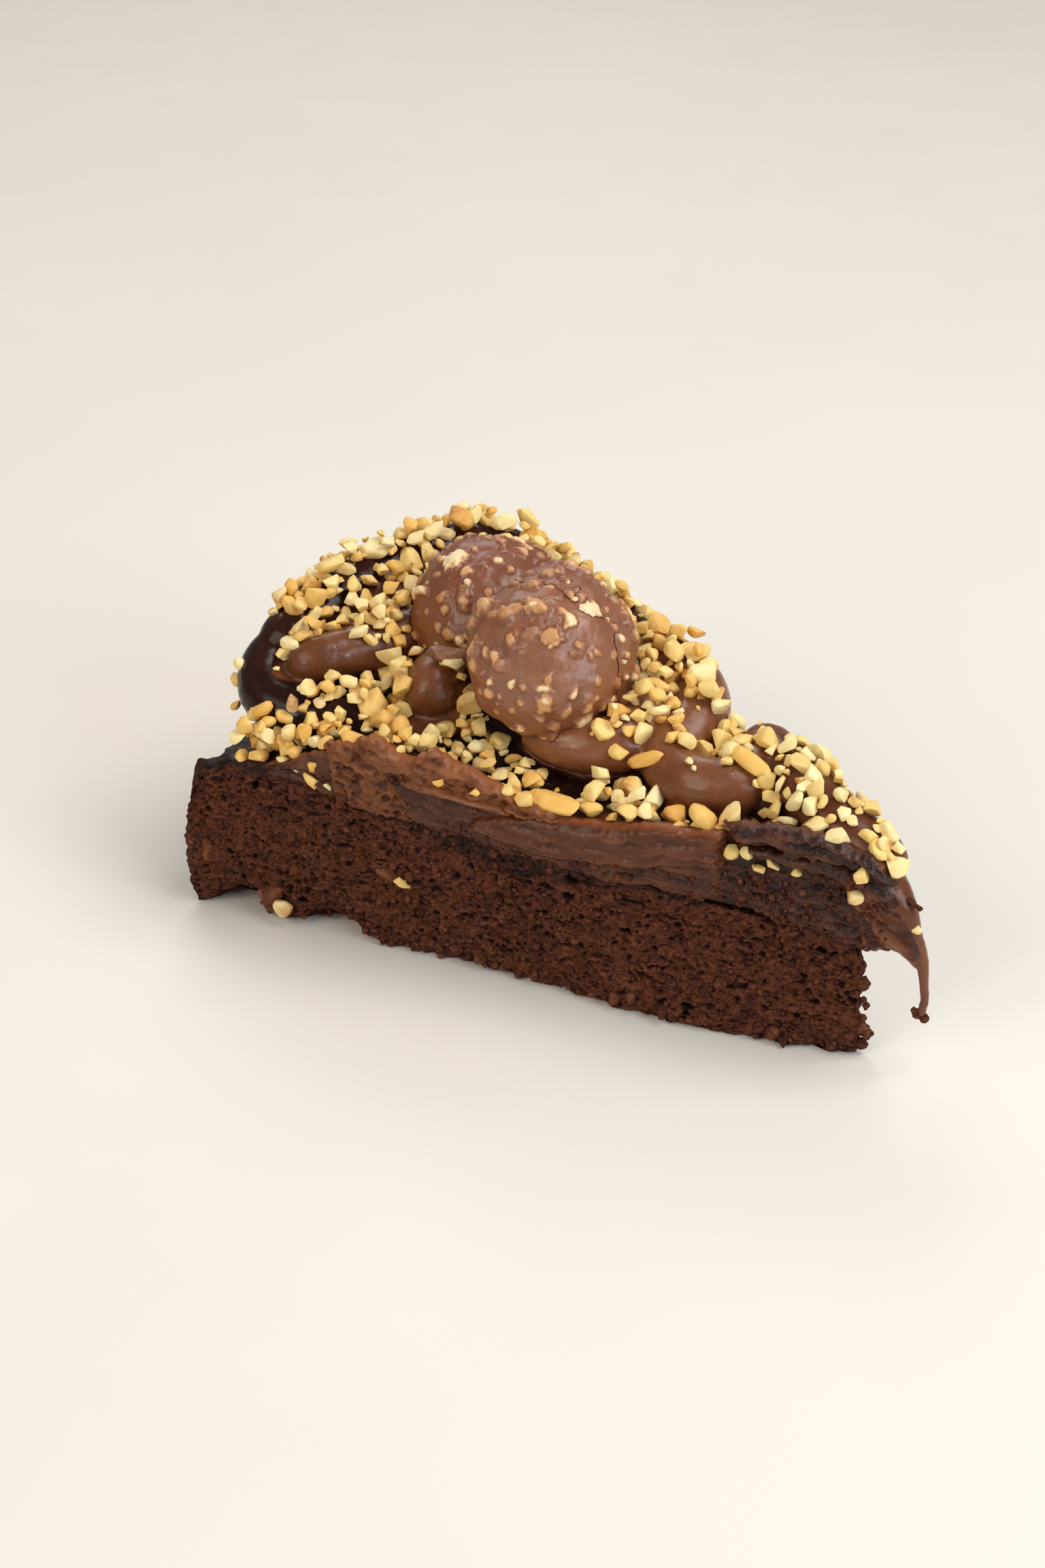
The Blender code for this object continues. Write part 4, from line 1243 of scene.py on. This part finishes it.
# Smears on the near cut: their top line, bottom line, and how they look. The lines are (along, height) in mm.
NEAR_SMEARS = [
    # The dark dragged band over the glaze.
    ([(17, 32.4), (24, 36.5), (33, 39.5), (42, 38), (55, 36.5), (70, 35), (88, 35.5), (104, 36.5)],
     [(16, 31.6), (26, 30.4), (34.6, 28), (44.5, 27.6), (53, 26.6), (62.5, 25.4), (72, 24.6), (84, 23.8),
      (91, 25), (97, 24), (104, 25.2)],
     dict(proud=0.5, seed=61, milk=0.4, wet=0.8, ragged=0.8, streak=0.4, lump=0.6, speck=0.7, crinkle=1.2,
          contrast=0.2)),
    # The crumbly light patch beside the crust corner.
    ([(28.5, 40), (33, 41.2), (37, 41), (41, 36.5), (45.5, 31)],
     [(29, 30.2), (34.6, 27.9), (39, 27.4), (43, 27.3), (46, 27.6)],
     dict(proud=1, seed=68, milk=0.78, wet=0.3, streak=0.2, lump=0.7, torn=1.3, ragged=0.8, speck=0.3)),
    # The torn ridge and the smooth tongue along its foot.
    ([(35.5, 42.5), (39.6, 43.4), (44.5, 41), (50.4, 42.8), (56, 41.4), (60.6, 39.4), (67, 37.2),
      (74, 35.6)],
     [(35.8, 40), (38.1, 38), (44.4, 36.7), (50.1, 35.6), (58, 35), (64, 34.8), (70, 34.2), (74, 33.8)],
     dict(proud=1.9, seed=62, milk=0.8, wet=0.35, streak=0.3, lump=1, torn=0.8, ragged=0.7)),
    ([(43, 38), (48, 37.4), (54, 37.2), (60, 36.4), (66, 35.4)],
     [(44, 36), (48, 35), (54, 34.9), (60, 34.3), (66, 34.2)],
     dict(proud=2.5, seed=69, milk=0.86, wet=0.5, streak=0.15, lump=0.5, ragged=0.25, sharp=2.2)),
    # The bluish lip and the light strip above it.
    ([(63, 29.5), (72, 28.6), (80, 29), (92, 31), (103, 33)],
     [(62, 26.3), (70, 25.9), (78, 26.3), (90, 27.9), (101, 30.6)],
     dict(proud=0.8, seed=70, milk=0.24, wet=0.9, streak=0.5, lump=0.8, ragged=0.6, sharp=2.5,
          speck=0.9)),
    ([(57, 31.4), (62, 33.4), (68, 34.5), (76.7, 35.2), (85.2, 36.3), (92.7, 37.9), (98.6, 38.2),
      (104, 38.8)],
     [(56, 30), (61, 28.6), (67, 27.2), (75.1, 26.9), (81, 27.3), (88.5, 28.5), (97.3, 31.1),
      (103.6, 31.6)],
     dict(proud=2, seed=63, milk=0.52, wet=0.8, streak=0.34, lump=0.55, ragged=0.45, sharp=8,
          contrast=0.13)),
    # Folds that run to the tip, and the crumb-studded mass under them.
    ([(104, 41), (112, 42.4), (121, 42.2), (128, 40.5), (133, 38.5)],
     [(105, 38.2), (112, 38), (120, 37.6), (128, 37), (133.5, 35)],
     dict(proud=1.8, seed=64, milk=0.17, wet=1, streak=0.8, lump=0.6, ragged=0.9, sharp=2.2, crinkle=1.2,
          contrast=0.3, folds=0.9)),
    ([(106, 38.6), (114, 38.6), (122, 38), (129, 37), (134, 35)],
     [(107, 35.6), (114, 35.4), (122, 34.8), (129, 33.6), (134, 31.5)],
     dict(proud=1.4, seed=71, milk=0.14, wet=1, streak=0.85, lump=0.6, ragged=0.8, sharp=2.2, crinkle=1.2,
          contrast=0.26, folds=0.9)),
    ([(101, 31.8), (108, 33), (118, 34), (126, 33.2), (134, 31.5)],
     [(101.6, 27.4), (109, 24.6), (119.5, 23.2), (127.7, 21.2), (133.5, 21.8)],
     dict(proud=0.7, seed=65, milk=0.26, wet=1, streak=0.6, lump=1.3, torn=0.9, ragged=1, speck=0.7,
          crinkle=2.4, contrast=0.22, folds=0.4)),
    # The sheet that is drawn out over the tip, and the torn-off bits lower down.
    ([(126, 38), (130.5, 38), (134.4, 33.6), (137, 28), (139.4, 22)],
     [(125, 31), (129, 26.5), (132, 22.8), (135.6, 21.9), (138.6, 19.6)],
     dict(proud=1.3, seed=72, milk=0.5, wet=1, streak=0.5, lump=0.6, ragged=0.3, sharp=2, contrast=0.2,
          fall=0.6, folds=0.4)),
    ([(0.8, 13.8), (2.4, 14.4), (4, 13.6)], [(1, 9.6), (2.4, 9), (3.6, 9.8)],
     dict(proud=0.7, seed=73, milk=0.7, wet=0.2, ragged=0.4, sharp=2, torn=0.2)),
    ([(13, 5.2), (15.5, 6.8), (18.2, 6.4)], [(14.2, 1.6), (15.6, 0.4), (17.2, 1.4)],
     dict(proud=1.4, seed=75, milk=0.6, wet=0.2, ragged=0.6, sharp=2, torn=0.6, back=4)),
    ([(36.6, 16.8), (39.5, 16.8), (42, 16.2)], [(37, 15.6), (39.5, 14.2), (42, 13.8)],
     dict(proud=0.8, seed=74, milk=0.7, wet=0.2, ragged=0.3, sharp=2, torn=0.2)),
]

FAR_SMEARS = [
    ([(12, 39), (30, 40.5), (55, 39), (80, 38), (104, 38), (128, 36.5)],
     [(12, 28.5), (34, 28.2), (55, 27), (80, 24.6), (104, 23), (130, 22)],
     dict(proud=0.6, seed=66, milk=0.36, wet=0.6, streak=0.4, lump=0.6)),
    ([(30, 40), (45, 38.5), (60, 38), (78, 36.5)], [(31, 33), (45, 32.4), (60, 32.8), (78, 32)],
     dict(proud=1.6, seed=67, milk=0.62, wet=0.3, streak=0.4, lump=0.6, torn=0.4)),
]


def make_smears(material):
    both = enumerate((NEAR_SMEARS, FAR_SMEARS))
    parts = [smear(side, top, bottom, **looks) for side, smears in both for top, bottom, looks in smears]
    return dress(add_shells("frosting_smears", parts), material)


# ---------------------------------------------------------------- nuts

# Spots (along, across, radius in mm) where the ropes' flanks stay bare of nuts.
BARE_SPOTS = [
    (16, 12, 5), (22, 19, 3.5), (42, 12, 5.5), (72, 9, 6), (94, 10, 7), (103, 7, 5), (92, 33, 4),
    (91, 23, 4), (127, 3, 3), (138, 2, 7), (7, 12, 5),
]

# The solid's largest nuts, which the smaller ones stay clear of: (along, across, longest side in mm).
LARGE_NUTS = [
    (76, 2.2, 10), (107.5, 13, 7.8), (87, 15.5, 7.5), (85, 37, 6.2), (81, 27, 6.6), (93, 2, 6.6),
    (99, 2, 6.8), (33, 12, 8),
]

# How the large nuts lie: (along, across, height above the surface, longest side in mm, turn in degrees, tone,
# roast). Those longer than WHOLE_KERNEL are whole golden kernels, and all of them lean towards LARGE_FACING.
LARGE_LOOKS = [
    (71.8, 1.8, 2, 10.2, -6, 0.15, 0.3), (104.2, 11.8, 1.2, 8.4, -26, 0.2, 0.4),
    (85.4, 11.2, 1.2, 7.4, 12, 0.05, 0.9), (85, 37, 1, 5.6, 40, 0.5, 0),
    (88.6, 30.6, 1.6, 5.4, 70, 0.9, 0.1), (81, 27, 0.8, 5.6, 20, 0.3, 0.3),
    (33, 12, 1, 6.4, -60, 0.4, 0.3), (24.5, 46, 1, 6, 30, 0.6, 0.2), (93.3, 4, 1.2, 4.4, 10, 0, 1),
]
WHOLE_KERNEL = 7
WHOLE_SHAPE = dict(wide=(0.36, 0.42), high=(0.3, 0.36), cuts=(3, 5), depth=(0.66, 0.88), blunt=0.62)
LARGE_FACING = Vector((0, -0.5, 0.85))


def inside_slice(along, across, overhang=OVERHANG):
    far = math.sin(SLICE_ANGLE) * (CAKE_RADIUS - along) - math.cos(SLICE_ANGLE) * across
    return across > 0.0012 and far > -overhang and reach(along, across) < CAKE_RADIUS - 0.004


def near_any(along, across, spots, share=1.0, extra=0.0):
    return any(math.hypot(along - a, across - b) < share * r + extra for a, b, r in spots)


def nut_spots(count):
    """(along, across, size) for each of the solid's nuts, the largest first, densest towards the rear."""
    draw = random.Random(NUT_SEED)
    bare, spots = in_metres(BARE_SPOTS), in_metres(LARGE_NUTS)
    size, tries = NUT_SIZE, 0
    while len(spots) < count:
        tries += 1
        if tries % 40 == 0:
            size = max(NUT_SMALLEST, size * 0.985)
        along, across = draw.uniform(0.0, 0.136), draw.uniform(0.0, 0.088)
        width = size * draw.uniform(0.8, 1.2)
        sparse = draw.random() > 0.6 + 0.4 * smooth_step(0.085, 0.045, along)
        if sparse or not inside_slice(along, across) or near_any(along, across, bare):
            continue
        if near_any(along, across, spots, 0.45, 0.45 * width):
            continue
        spots.append((along, across, width))
    return spots


# Where nuts are strewn more thickly: (along, across, radius in mm, how many tries, layers of a heap).
NUT_PATCHES = [
    (22, 36, 14, 330, 1), (33, 60, 17, 330, 1), (52, 56, 16, 220, 1), (16, 24, 8, 80, 1),
    (12, 28, 6, 60, 1), (31, 14, 8, 150, 1), (42, 8, 7, 120, 1), (50, 8, 6, 90, 1), (46, 20, 6, 70, 1),
    (58, 5, 6, 60, 1), (36, 22, 7, 110, 1), (27, 10, 6, 70, 1), (74, 33, 10, 150, 1), (84, 31, 9, 130, 1),
    (78, 20, 7, 60, 1), (70, 46, 11, 110, 0), (92, 22, 8, 70, 0), (104, 13, 8, 85, 0),
    (113, 10, 7, 85, 0), (121, 7, 6, 75, 0), (129, 4.5, 5, 60, 0), (80, 8, 6, 60, 1), (98, 6, 6, 34, 0),
    (66, 9, 6, 50, 1), (70, 24, 5, 60, 0), (85, 20, 6, 50, 0), (60, 62, 10, 50, 0), (86, 4.5, 5, 50, 0),
    (28, 26, 6, 90, 1), (20, 22, 5, 50, 0), (27, 4.5, 4, 60, 1), (112, 15.5, 6, 60, 0),
    (119, 12, 5, 60, 0), (126, 8, 4.5, 50, 0), (131, 5.5, 3.5, 30, 0),
]

# Rope flanks that stay free of every nut: (along, across, radius in mm).
BARE_FLANKS = [
    (7, 16, 6), (11.5, 9.5, 4.5), (17, 12, 3.8), (16, 9.5, 4), (25, 17, 4.2), (20.5, 15, 3),
    (42.5, 15.5, 4.2), (40.5, 19.5, 3.2),
]

# Sizes of the strewn nuts: smallest, usual, its spread, and largest.
STREWN_SIZES = (0.0014, 0.0031, 0.34, 0.0056)

# From where along (mm) the nuts may hang over the far cut, and how far.
TIP_PATCHES = 105
TIP_OVERHANG = 0.005

# Fine bits everywhere, and nuts in the crust corner: how many tries, along, across, and size (from, to).
FINE_BITS = (300, (0.004, 0.134), (0.001, 0.085), (0.0009, 0.0019))
CORNER_NUTS = (150, (0.0112, 0.025), (0.0008, 0.0085), (0.0024, 0.0048))


def strewn_spots():
    """(along, across, size, layers) for the nuts and bits beyond the solid's own."""
    draw = random.Random(NUT_SEED + 1)
    bare = in_metres([(a, b, 0.8 * r) for a, b, r in BARE_SPOTS] + BARE_FLANKS)
    smallest, usual, spread, largest = STREWN_SIZES
    spots = []
    for along, across, radius, count, levels in NUT_PATCHES:
        for _ in range(count):
            turn, away = draw.uniform(0, math.tau), radius * MM * math.sqrt(draw.random())
            spot = along * MM + away * math.cos(turn), across * MM + away * math.sin(turn)
            size = min(largest, max(smallest, usual * math.exp(draw.gauss(0, spread))))
            overhang = TIP_OVERHANG if along > TIP_PATCHES else OVERHANG
            if inside_slice(*spot, overhang) and not near_any(*spot, bare):
                spots.append((*spot, size, levels if draw.random() < 0.4 else 0))
    count, along, across, sizes = FINE_BITS
    for _ in range(count):
        spot = draw.uniform(*along), draw.uniform(*across)
        if inside_slice(*spot):
            spots.append((*spot, draw.uniform(*sizes), 0))
    return spots


# How roasted a nut's brownest side may be, how near two nuts may come as a share of their joined sizes, and
# how much higher each further layer of a heap lies.
NUT_ROASTS = (0.0, 0.0, 0.0, 0.15, 0.3, 0.45, 0.8)
NUT_ROOM = 0.35
NUT_LAYER = 0.002


def ball_mesh(divisions):
    """Directions and faces of a divided ball."""
    mesh = bmesh.new()
    bmesh.ops.create_icosphere(mesh, subdivisions=divisions, radius=1.0)
    ways = np.array([v.co for v in mesh.verts])
    faces = [tuple(v.index for v in f.verts) for f in mesh.faces]
    mesh.free()
    return ways / np.linalg.norm(ways, axis=1)[:, None], faces


def random_way(draw):
    way = np.array([draw.gauss(0, 1) for _ in range(3)])
    return way / np.linalg.norm(way)


def chopped_kernel(draw, wide=(0.56, 0.9), high=(0.48, 0.76), cuts=(5, 9), depth=(0.34, 0.72), blunt=1.0):
    """Points and faces of a piece of kernel, one unit long, rounded where it isn't chopped flat."""
    mesh = bmesh.new()
    bmesh.ops.create_icosphere(mesh, subdivisions=2, radius=0.5)
    for vertex in mesh.verts:
        vertex.co.x = math.copysign(0.5 * abs(2 * vertex.co.x) ** blunt, vertex.co.x)
    half = Vector((1.0, draw.uniform(*wide), draw.uniform(*high)))
    bmesh.ops.scale(mesh, vec=half, verts=mesh.verts)
    for _ in range(draw.randint(*cuts)):
        way = Vector(random_way(draw))
        spot = way * 0.5 * (way * half).length * draw.uniform(*depth)
        everything = mesh.verts[:] + mesh.edges[:] + mesh.faces[:]
        made = bmesh.ops.bisect_plane(mesh, geom=everything, plane_co=spot, plane_no=way, clear_outer=True)
        rim = [part for part in made["geom_cut"] if isinstance(part, bmesh.types.BMEdge)]
        if len(rim) > 2:
            bmesh.ops.edgeloop_fill(mesh, edges=rim)
    bmesh.ops.remove_doubles(mesh, verts=mesh.verts, dist=0.035)
    sharp = [edge for edge in mesh.edges if edge.calc_face_angle(0.0) > math.radians(30)]
    bmesh.ops.bevel(mesh, geom=sharp, offset=0.022, segments=1, affect="EDGES", clamp_overlap=True)
    bmesh.ops.triangulate(mesh, faces=mesh.faces)
    points = np.array([vertex.co for vertex in mesh.verts])
    faces = [tuple(vertex.index for vertex in face.verts) for face in mesh.faces]
    mesh.free()
    points -= (points.max(axis=0) + points.min(axis=0)) / 2
    return points / np.ptp(points, axis=0).max(), faces


def surface_of(piece):
    data = piece.data
    return BVHTree.FromPolygons([v.co for v in data.vertices], [list(p.vertices) for p in data.polygons])


class NutHeap:
    """Nuts dropped one after another on a surface, each resting on it or on those before."""

    def __init__(self, surface, kinds):
        self.surface = surface
        self.kinds = kinds
        self.balls = [(spot_mm(*middle), PRALINE_RADIUS * share)
                      for middle, _, _, share in PRALINE_PIECES.values()]
        self.centres, self.sizes, self.parts = [], [], []

    def crowded(self, centre, size):
        if not self.centres:
            return False
        gap = NUT_ROOM * (np.array(self.sizes) + size)
        return bool(np.any(np.linalg.norm(np.array(self.centres) - centre, axis=1) < gap))

    def surface_at(self, along, across):
        hit, normal, _, _ = self.surface.ray_cast(place(along, across, 0.09), Vector((0, 0, -1)))
        return hit, normal

    def drop(self, along, across, size, draw, floor=0.001, steepest=0.0, proud=NUT_PROUD, levels=0):
        """Lays a nut on the surface below a place, or on the nuts there; skips it where it has no room."""
        hit, normal = self.surface_at(along, across)
        if not hit or hit.z < frosting_floor(along, across) + floor or normal.z < steepest:
            return
        centre = np.array(hit + normal * min(size, NUT_THICKEST) * proud)
        level = 0
        while self.crowded(centre, size):
            level += 1
            centre = centre + (0.0, 0.0, NUT_LAYER)
            if level > levels:
                return
        if any(np.linalg.norm(centre - ball) < radius + 0.36 * size for ball, radius in self.balls):
            return
        tilt = Euler((draw.uniform(-0.5, 0.5), draw.uniform(-0.5, 0.5), draw.uniform(0, math.tau)))
        self.add(centre, size, np.array(upright_to(normal) @ tilt.to_matrix()), draw)

    def add(self, centre, size, tilt, draw, roast=None, tone=None, kind=None):
        points, faces = kind or self.kinds[draw.randrange(len(self.kinds))]
        points = points * (size, size, min(size, NUT_THICKEST * 1.5))
        amount = draw.choice(NUT_ROASTS) if roast is None else roast
        # Nuts are paler towards the tip: their lowest tone rises with along.
        paler_towards_tip = 0.42 * float(smooth_step(0.005, 0.05, centre[0]))
        values = {"roast": amount * smooth_step(-0.1, 0.35, points @ random_way(draw) / size),
                  "tone": draw.uniform(paler_towards_tip, 1.0) if tone is None else tone}
        self.centres.append(centre)
        self.sizes.append(size)
        self.parts.append((points @ tilt.T + centre, faces, values))


# Nuts that stick out of the cuts or lie in their gaps: (along, across, height, size in mm).
FACE_NUTS = [
    (108.2, -0.6, 36.4, 4), (112.4, -0.4, 35.2, 3.6), (110.2, -0.6, 33.6, 2.4), (105.4, -0.3, 35.6, 3),
    (128.6, -1.9, 37.2, 2.9), (127.4, -1.7, 33, 3.2), (26, -0.6, 32.4, 3.6), (26.4, 0.2, 35.2, 2.8),
    (29.6, -1, 32, 1.6), (43.6, -0.8, 15, 3.4), (18.9, -1.6, 3.8, 3.8), (52, -2.2, 38.6, 2.2),
    (59, -1.9, 38, 2.4), (117, -0.8, 34.6, 1.8), (99.2, 2.4, 39.6, 5.6), (104.4, 3, 40.6, 6.2),
    (5.4, 13.4, 44.6, 2.6), (5, 13, 41.6, 3.6), (5.6, 10.6, 37.6, 2.8), (14.2, 5.2, 41.4, 4),
    (132.9, 3.2, 40.8, 3.2), (133.7, 1.2, 38.6, 4.2), (130.6, 1.8, 40.6, 4.4), (128, 2.8, 41.6, 3.8),
    (14.6, 17, 49, 4.4), (13.6, 15.8, 47.4, 3.8), (17, 18.6, 49.2, 3.8), (137.8, 0.6, 27.4, 2.4),
    (67.5, -0.6, 37.6, 3.4), (64, -0.2, 38.4, 2.4), (82.7, 4.5, 38.8, 3.6), (85.8, 5.7, 39, 4.2),
    (85.9, 1.4, 38, 3.6), (88.3, 2.8, 38.2, 3.8), (78.1, 8.6, 40, 3.4),
]


def add_large_nuts(heap, shaper):
    for along, across, lift, size, turn, tone, roast in LARGE_LOOKS:
        kind = None
        if size > WHOLE_KERNEL:
            kind = chopped_kernel(shaper, **WHOLE_SHAPE)
        hit, normal = heap.surface_at(along * MM, across * MM)
        tilt = upright_to(normal.lerp(LARGE_FACING, 0.6)) @ Euler((0.0, 0.0, math.radians(turn))).to_matrix()
        centre = np.array(hit + Vector((0, 0, lift * MM)))
        heap.add(centre, size * MM, np.array(tilt), shaper, roast, tone, kind)


def make_nuts(frosting, glaze, material):
    """Each nut is pressed into the surface below its spot, clear of the praline."""
    shaper = random.Random(NUT_SEED + 3)
    kinds = [chopped_kernel(shaper) for _ in range(NUT_KINDS)]
    heap = NutHeap(surface_of(frosting), kinds)
    bare = in_metres(BARE_FLANKS)
    add_large_nuts(heap, shaper)
    for index, (along, across, size) in enumerate(nut_spots(SOLID_NUTS)):
        if index >= len(LARGE_NUTS) and not near_any(along, across, bare):
            heap.drop(along, across, size, random.Random(NUT_SEED * 1000 + index), steepest=0.12, levels=1)
    draw = random.Random(NUT_SEED + 2)
    for along, across, size, levels in strewn_spots():
        heap.drop(along, across, size, draw, steepest=0.22, proud=0.3, levels=levels)
    corner = NutHeap(surface_of(glaze), kinds)
    corner.centres, corner.sizes = heap.centres, heap.sizes
    tries, from_crust, from_cut, sizes = CORNER_NUTS
    for _ in range(tries):
        along, across = draw.uniform(*from_crust), draw.uniform(*from_cut)
        if reach(along, across) < CAKE_RADIUS - 0.006:
            corner.drop(along, across, draw.uniform(*sizes), draw, -0.002, 0.1, 0.3, 3)
    for along, across, height, size in FACE_NUTS:
        turn = np.array(Euler([draw.uniform(-1, 1) for _ in range(3)]).to_matrix())
        heap.add(spot_mm(along, across, height), size * MM, turn, draw)
    nuts = add_shells("nuts", heap.parts + corner.parts)
    nuts.data.set_sharp_from_angle(angle=SHARP_ANGLE)
    return dress(nuts, material)


# ---------------------------------------------------------------- crumbs

# Crumbs set one by one on the frosting and down the brownie's tip: (along, across, height, half size in mm).
TIP_CRUMBS = [
    (136.1, 0.9, 32.5, 0.7), (136.8, 0.7, 32.2, 0.6), (137.5, 0.6, 32, 0.5), (138.1, 0.5, 31.7, 0.45),
    (129.2, 0.4, 14.2, 1.1), (130.1, 0.4, 14.5, 0.5), (129.3, 0.5, 10.9, 0.9), (129.9, 0.4, 9.9, 0.8),
    (129.3, 0.5, 7.2, 0.7), (129.2, 0.6, 4.9, 1.2), (130.3, 0.5, 4, 1), (131.2, 0.4, 4.4, 0.5),
    (129.2, 0.5, 1.7, 1), (129, 0.5, 17.9, 0.6), (138.9, 1, 10.3, 0.9), (140, 0.8, 9.7, 0.8),
    (138, 0.9, 10.8, 0.5), (128.4, -1.9, 35.6, 0.8), (126.9, -2, 36.3, 0.6), (111.5, -1.6, 31, 0.8),
    (103.5, 14, 46, 0.5), (118.4, -1.5, 31.4, 0.7),
]

# Half sizes of the crumbs on the smears and on the cuts: usual, its spread, and largest.
SMEARED_SIZES = (0.00031, 0.45, 0.0009)
CUT_SIZES = (0.00048, 0.35, 0.0011)


def crumb_size(draw, usual, spread, largest):
    return min(largest, usual * math.exp(draw.gauss(0, spread)))


def crumb_part(ways, faces, texture, centre, size, draw):
    """A lumpy crumb at the centre, cut off at the floor."""
    shift = draw.uniform(0, 90)
    lump = 1 + 0.35 * texture.at(ways * 1.6 + shift)
    stretch = np.array([draw.uniform(0.7, 1.3) for _ in range(3)])
    points = ways * lump[:, None] * stretch * size + np.array(centre)
    points[:, 2] = np.maximum(points[:, 2], 0.0)
    return points, faces, {"tone": 0.1 + 0.25 * texture.at(ways * 3 + shift) + draw.uniform(-0.2, 0.25)}


# Where crumbs cling to the smeared frosting: (along from, to, height from, to in mm, how many).
SMEARED_CRUMBS = [
    (103, 133, 22.5, 32.5, 210), (44, 104, 23.5, 29, 130), (28, 46, 28, 38, 34), (20, 36, 29.5, 32.5, 24),
    (104, 130, 33, 37, 16), (45, 75, 35, 39, 20),
]


def smeared_crumbs(surface, draw, ways, faces, texture):
    parts = []
    for first, last, low, high, count in SMEARED_CRUMBS:
        for _ in range(count):
            along, height = draw.uniform(first, last) * MM, draw.uniform(low, high) * MM
            hit, normal, _, _ = surface.ray_cast(place(along, -0.02, height), Vector((0, 1, 0)))
            if hit and hit.y + ORIGIN_ACROSS < 0.004:
                size = crumb_size(draw, *SMEARED_SIZES)
                parts.append(crumb_part(ways, faces, texture, hit + normal * size * 0.3, size, draw))
    return parts


# How many crumbs cling to the cuts, one in how many of which lies at their foot; from where to where; and the
# share of them on the near cut.
CUT_CRUMBS = 620
FOOT_CRUMBS = 6
CRUMBS_ALONG = (0.001, 0.1285)
CRUMB_HEIGHTS = (0.001, 0.03)
FOOT_HEIGHTS = (0.0004, 0.0022)
ON_NEAR_CUT = 0.7


def make_crumbs(brownie, smears, material):
    """Crumbs that cling to the torn cuts and their foot, to the smears, and to the tip."""
    draw = random.Random(CRUMB_SEED)
    ways, faces = ball_mesh(2)
    texture = Noise(CRUMB_LUMP_SEED)
    surface = surface_of(brownie)
    parts = []
    for index in range(CUT_CRUMBS):
        along = draw.uniform(*CRUMBS_ALONG)
        at_foot = index % FOOT_CRUMBS == 0
        height = draw.uniform(*(FOOT_HEIGHTS if at_foot else CRUMB_HEIGHTS))
        side = 0 if draw.random() < ON_NEAR_CUT else 1
        start = Vector(on_cut(side, along, 0.02, height))
        way = Vector(on_cut(side, along, 0.0, height)) - start
        hit, normal, _, _ = surface.ray_cast(start, way.normalized())
        if not hit or height > brownie_top(along, 0.0):
            continue
        size = crumb_size(draw, *CUT_SIZES) * (1.2 if at_foot else 1.0)
        centre = hit + normal * size * draw.uniform(0.1, 0.6)
        centre.z = max(centre.z, size * 0.75)
        parts.append(crumb_part(ways, faces, texture, centre, size, draw))
    parts += smeared_crumbs(surface_of(smears), draw, ways, faces, texture)
    for along, across, height, size in TIP_CRUMBS:
        parts.append(crumb_part(ways, faces, texture, spot_mm(along, across, height), size * MM, draw))
    return dress(add_shells("crumbs", parts), material)


# ---------------------------------------------------------------- floor, lights and camera

CAMERA_PLACE = (0.2354, -0.3859, 0.2953)
CAMERA_BACK = (0.3421, -0.784, 0.518)
CAMERA_RIGHT = (0.9166, 0.3999, 0.0)
CAMERA_ROLL = math.radians(-1.08)
CAMERA_LENS = 65.625

FLOOR_SIZE = 3.0
FLOOR_GAP = 0.0002
SKY_COLOUR = (0.95, 0.96, 1.0, 1.0)
SKY_STRENGTH = 0.23

# Soft lights: (name, place, size, energy, colour). They face a point inside the slice.
LIT_POINT = Vector((0, 0, 0.03))
SOFTBOXES = [
    ("key", (0.42, 0.12, 0.8), (0.5, 0.6), 5.5, (1.0, 0.96, 0.9)),
    ("window", (0.82, -0.3, 0.44), (0.6, 0.42), 4.2, (0.79, 0.9, 1.0)),
    ("front", (-0.42, -0.76, 0.7), (0.8, 0.5), 3.5, (1.0, 0.9, 0.75)),
    ("glint", (-0.38, -0.95, 0.34), (0.11, 0.09), 1.3, (1.0, 0.93, 0.82)),
    ("rear", (-0.45, 0.6, 0.6), (0.6, 0.3), 2.0, (0.97, 0.97, 1.0)),
]


def add_camera():
    """Looks down on the near cut from in front of it and beyond the tip."""
    back = Vector(CAMERA_BACK).normalized()
    up = back.cross(Vector(CAMERA_RIGHT)).normalized()
    right = up.cross(back)
    right, up = (math.cos(CAMERA_ROLL) * right + math.sin(CAMERA_ROLL) * up,
                 math.cos(CAMERA_ROLL) * up - math.sin(CAMERA_ROLL) * right)
    lens = bpy.data.cameras.new("camera")
    lens.lens = CAMERA_LENS
    lens.clip_start = 0.01
    camera = add_object("camera", lens)
    turned = Matrix((right, up, back)).transposed().to_4x4()
    camera.matrix_world = Matrix.Translation(place(*CAMERA_PLACE)) @ turned
    bpy.context.scene.camera = camera


def add_softbox(name, spot, size, energy, colour):
    light = bpy.data.lights.new(name, "AREA")
    light.shape = "RECTANGLE"
    light.size, light.size_y = size
    light.energy = energy
    light.color = colour
    made = add_object(name, light)
    made.location = spot
    made.rotation_euler = (Vector(spot) - LIT_POINT).to_track_quat("Z", "Y").to_euler()


def add_room(material):
    """A pale floor under soft studio light."""
    scene = bpy.context.scene
    scene.view_settings.view_transform = "Standard"
    mesh = bmesh.new()
    bmesh.ops.create_grid(mesh, x_segments=2, y_segments=2, size=FLOOR_SIZE)
    floor = add_object("floor", mesh)
    floor.location.z = -FLOOR_GAP
    floor.data.materials.append(material)
    world = bpy.data.worlds.new("studio")
    world.use_nodes = True
    background = world.node_tree.nodes["Background"]
    background.inputs["Color"].default_value = SKY_COLOUR
    background.inputs["Strength"].default_value = SKY_STRENGTH
    scene.world = world
    for softbox in SOFTBOXES:
        add_softbox(*softbox)


def main():
    add_camera()
    add_room(floor_material())
    crumb = brownie_material()
    brownie = make_brownie(crumb)
    glaze = make_glaze(crumb)
    shell = praline_material()
    pralines = make_pralines(shell)
    make_chip(shell)
    chocolate = frosting_material()
    frosting = make_frosting(pralines, chocolate)
    smears = make_smears(chocolate)
    make_crumbs(brownie, smears, crumb)
    make_nuts(frosting, glaze, nut_material())


main()
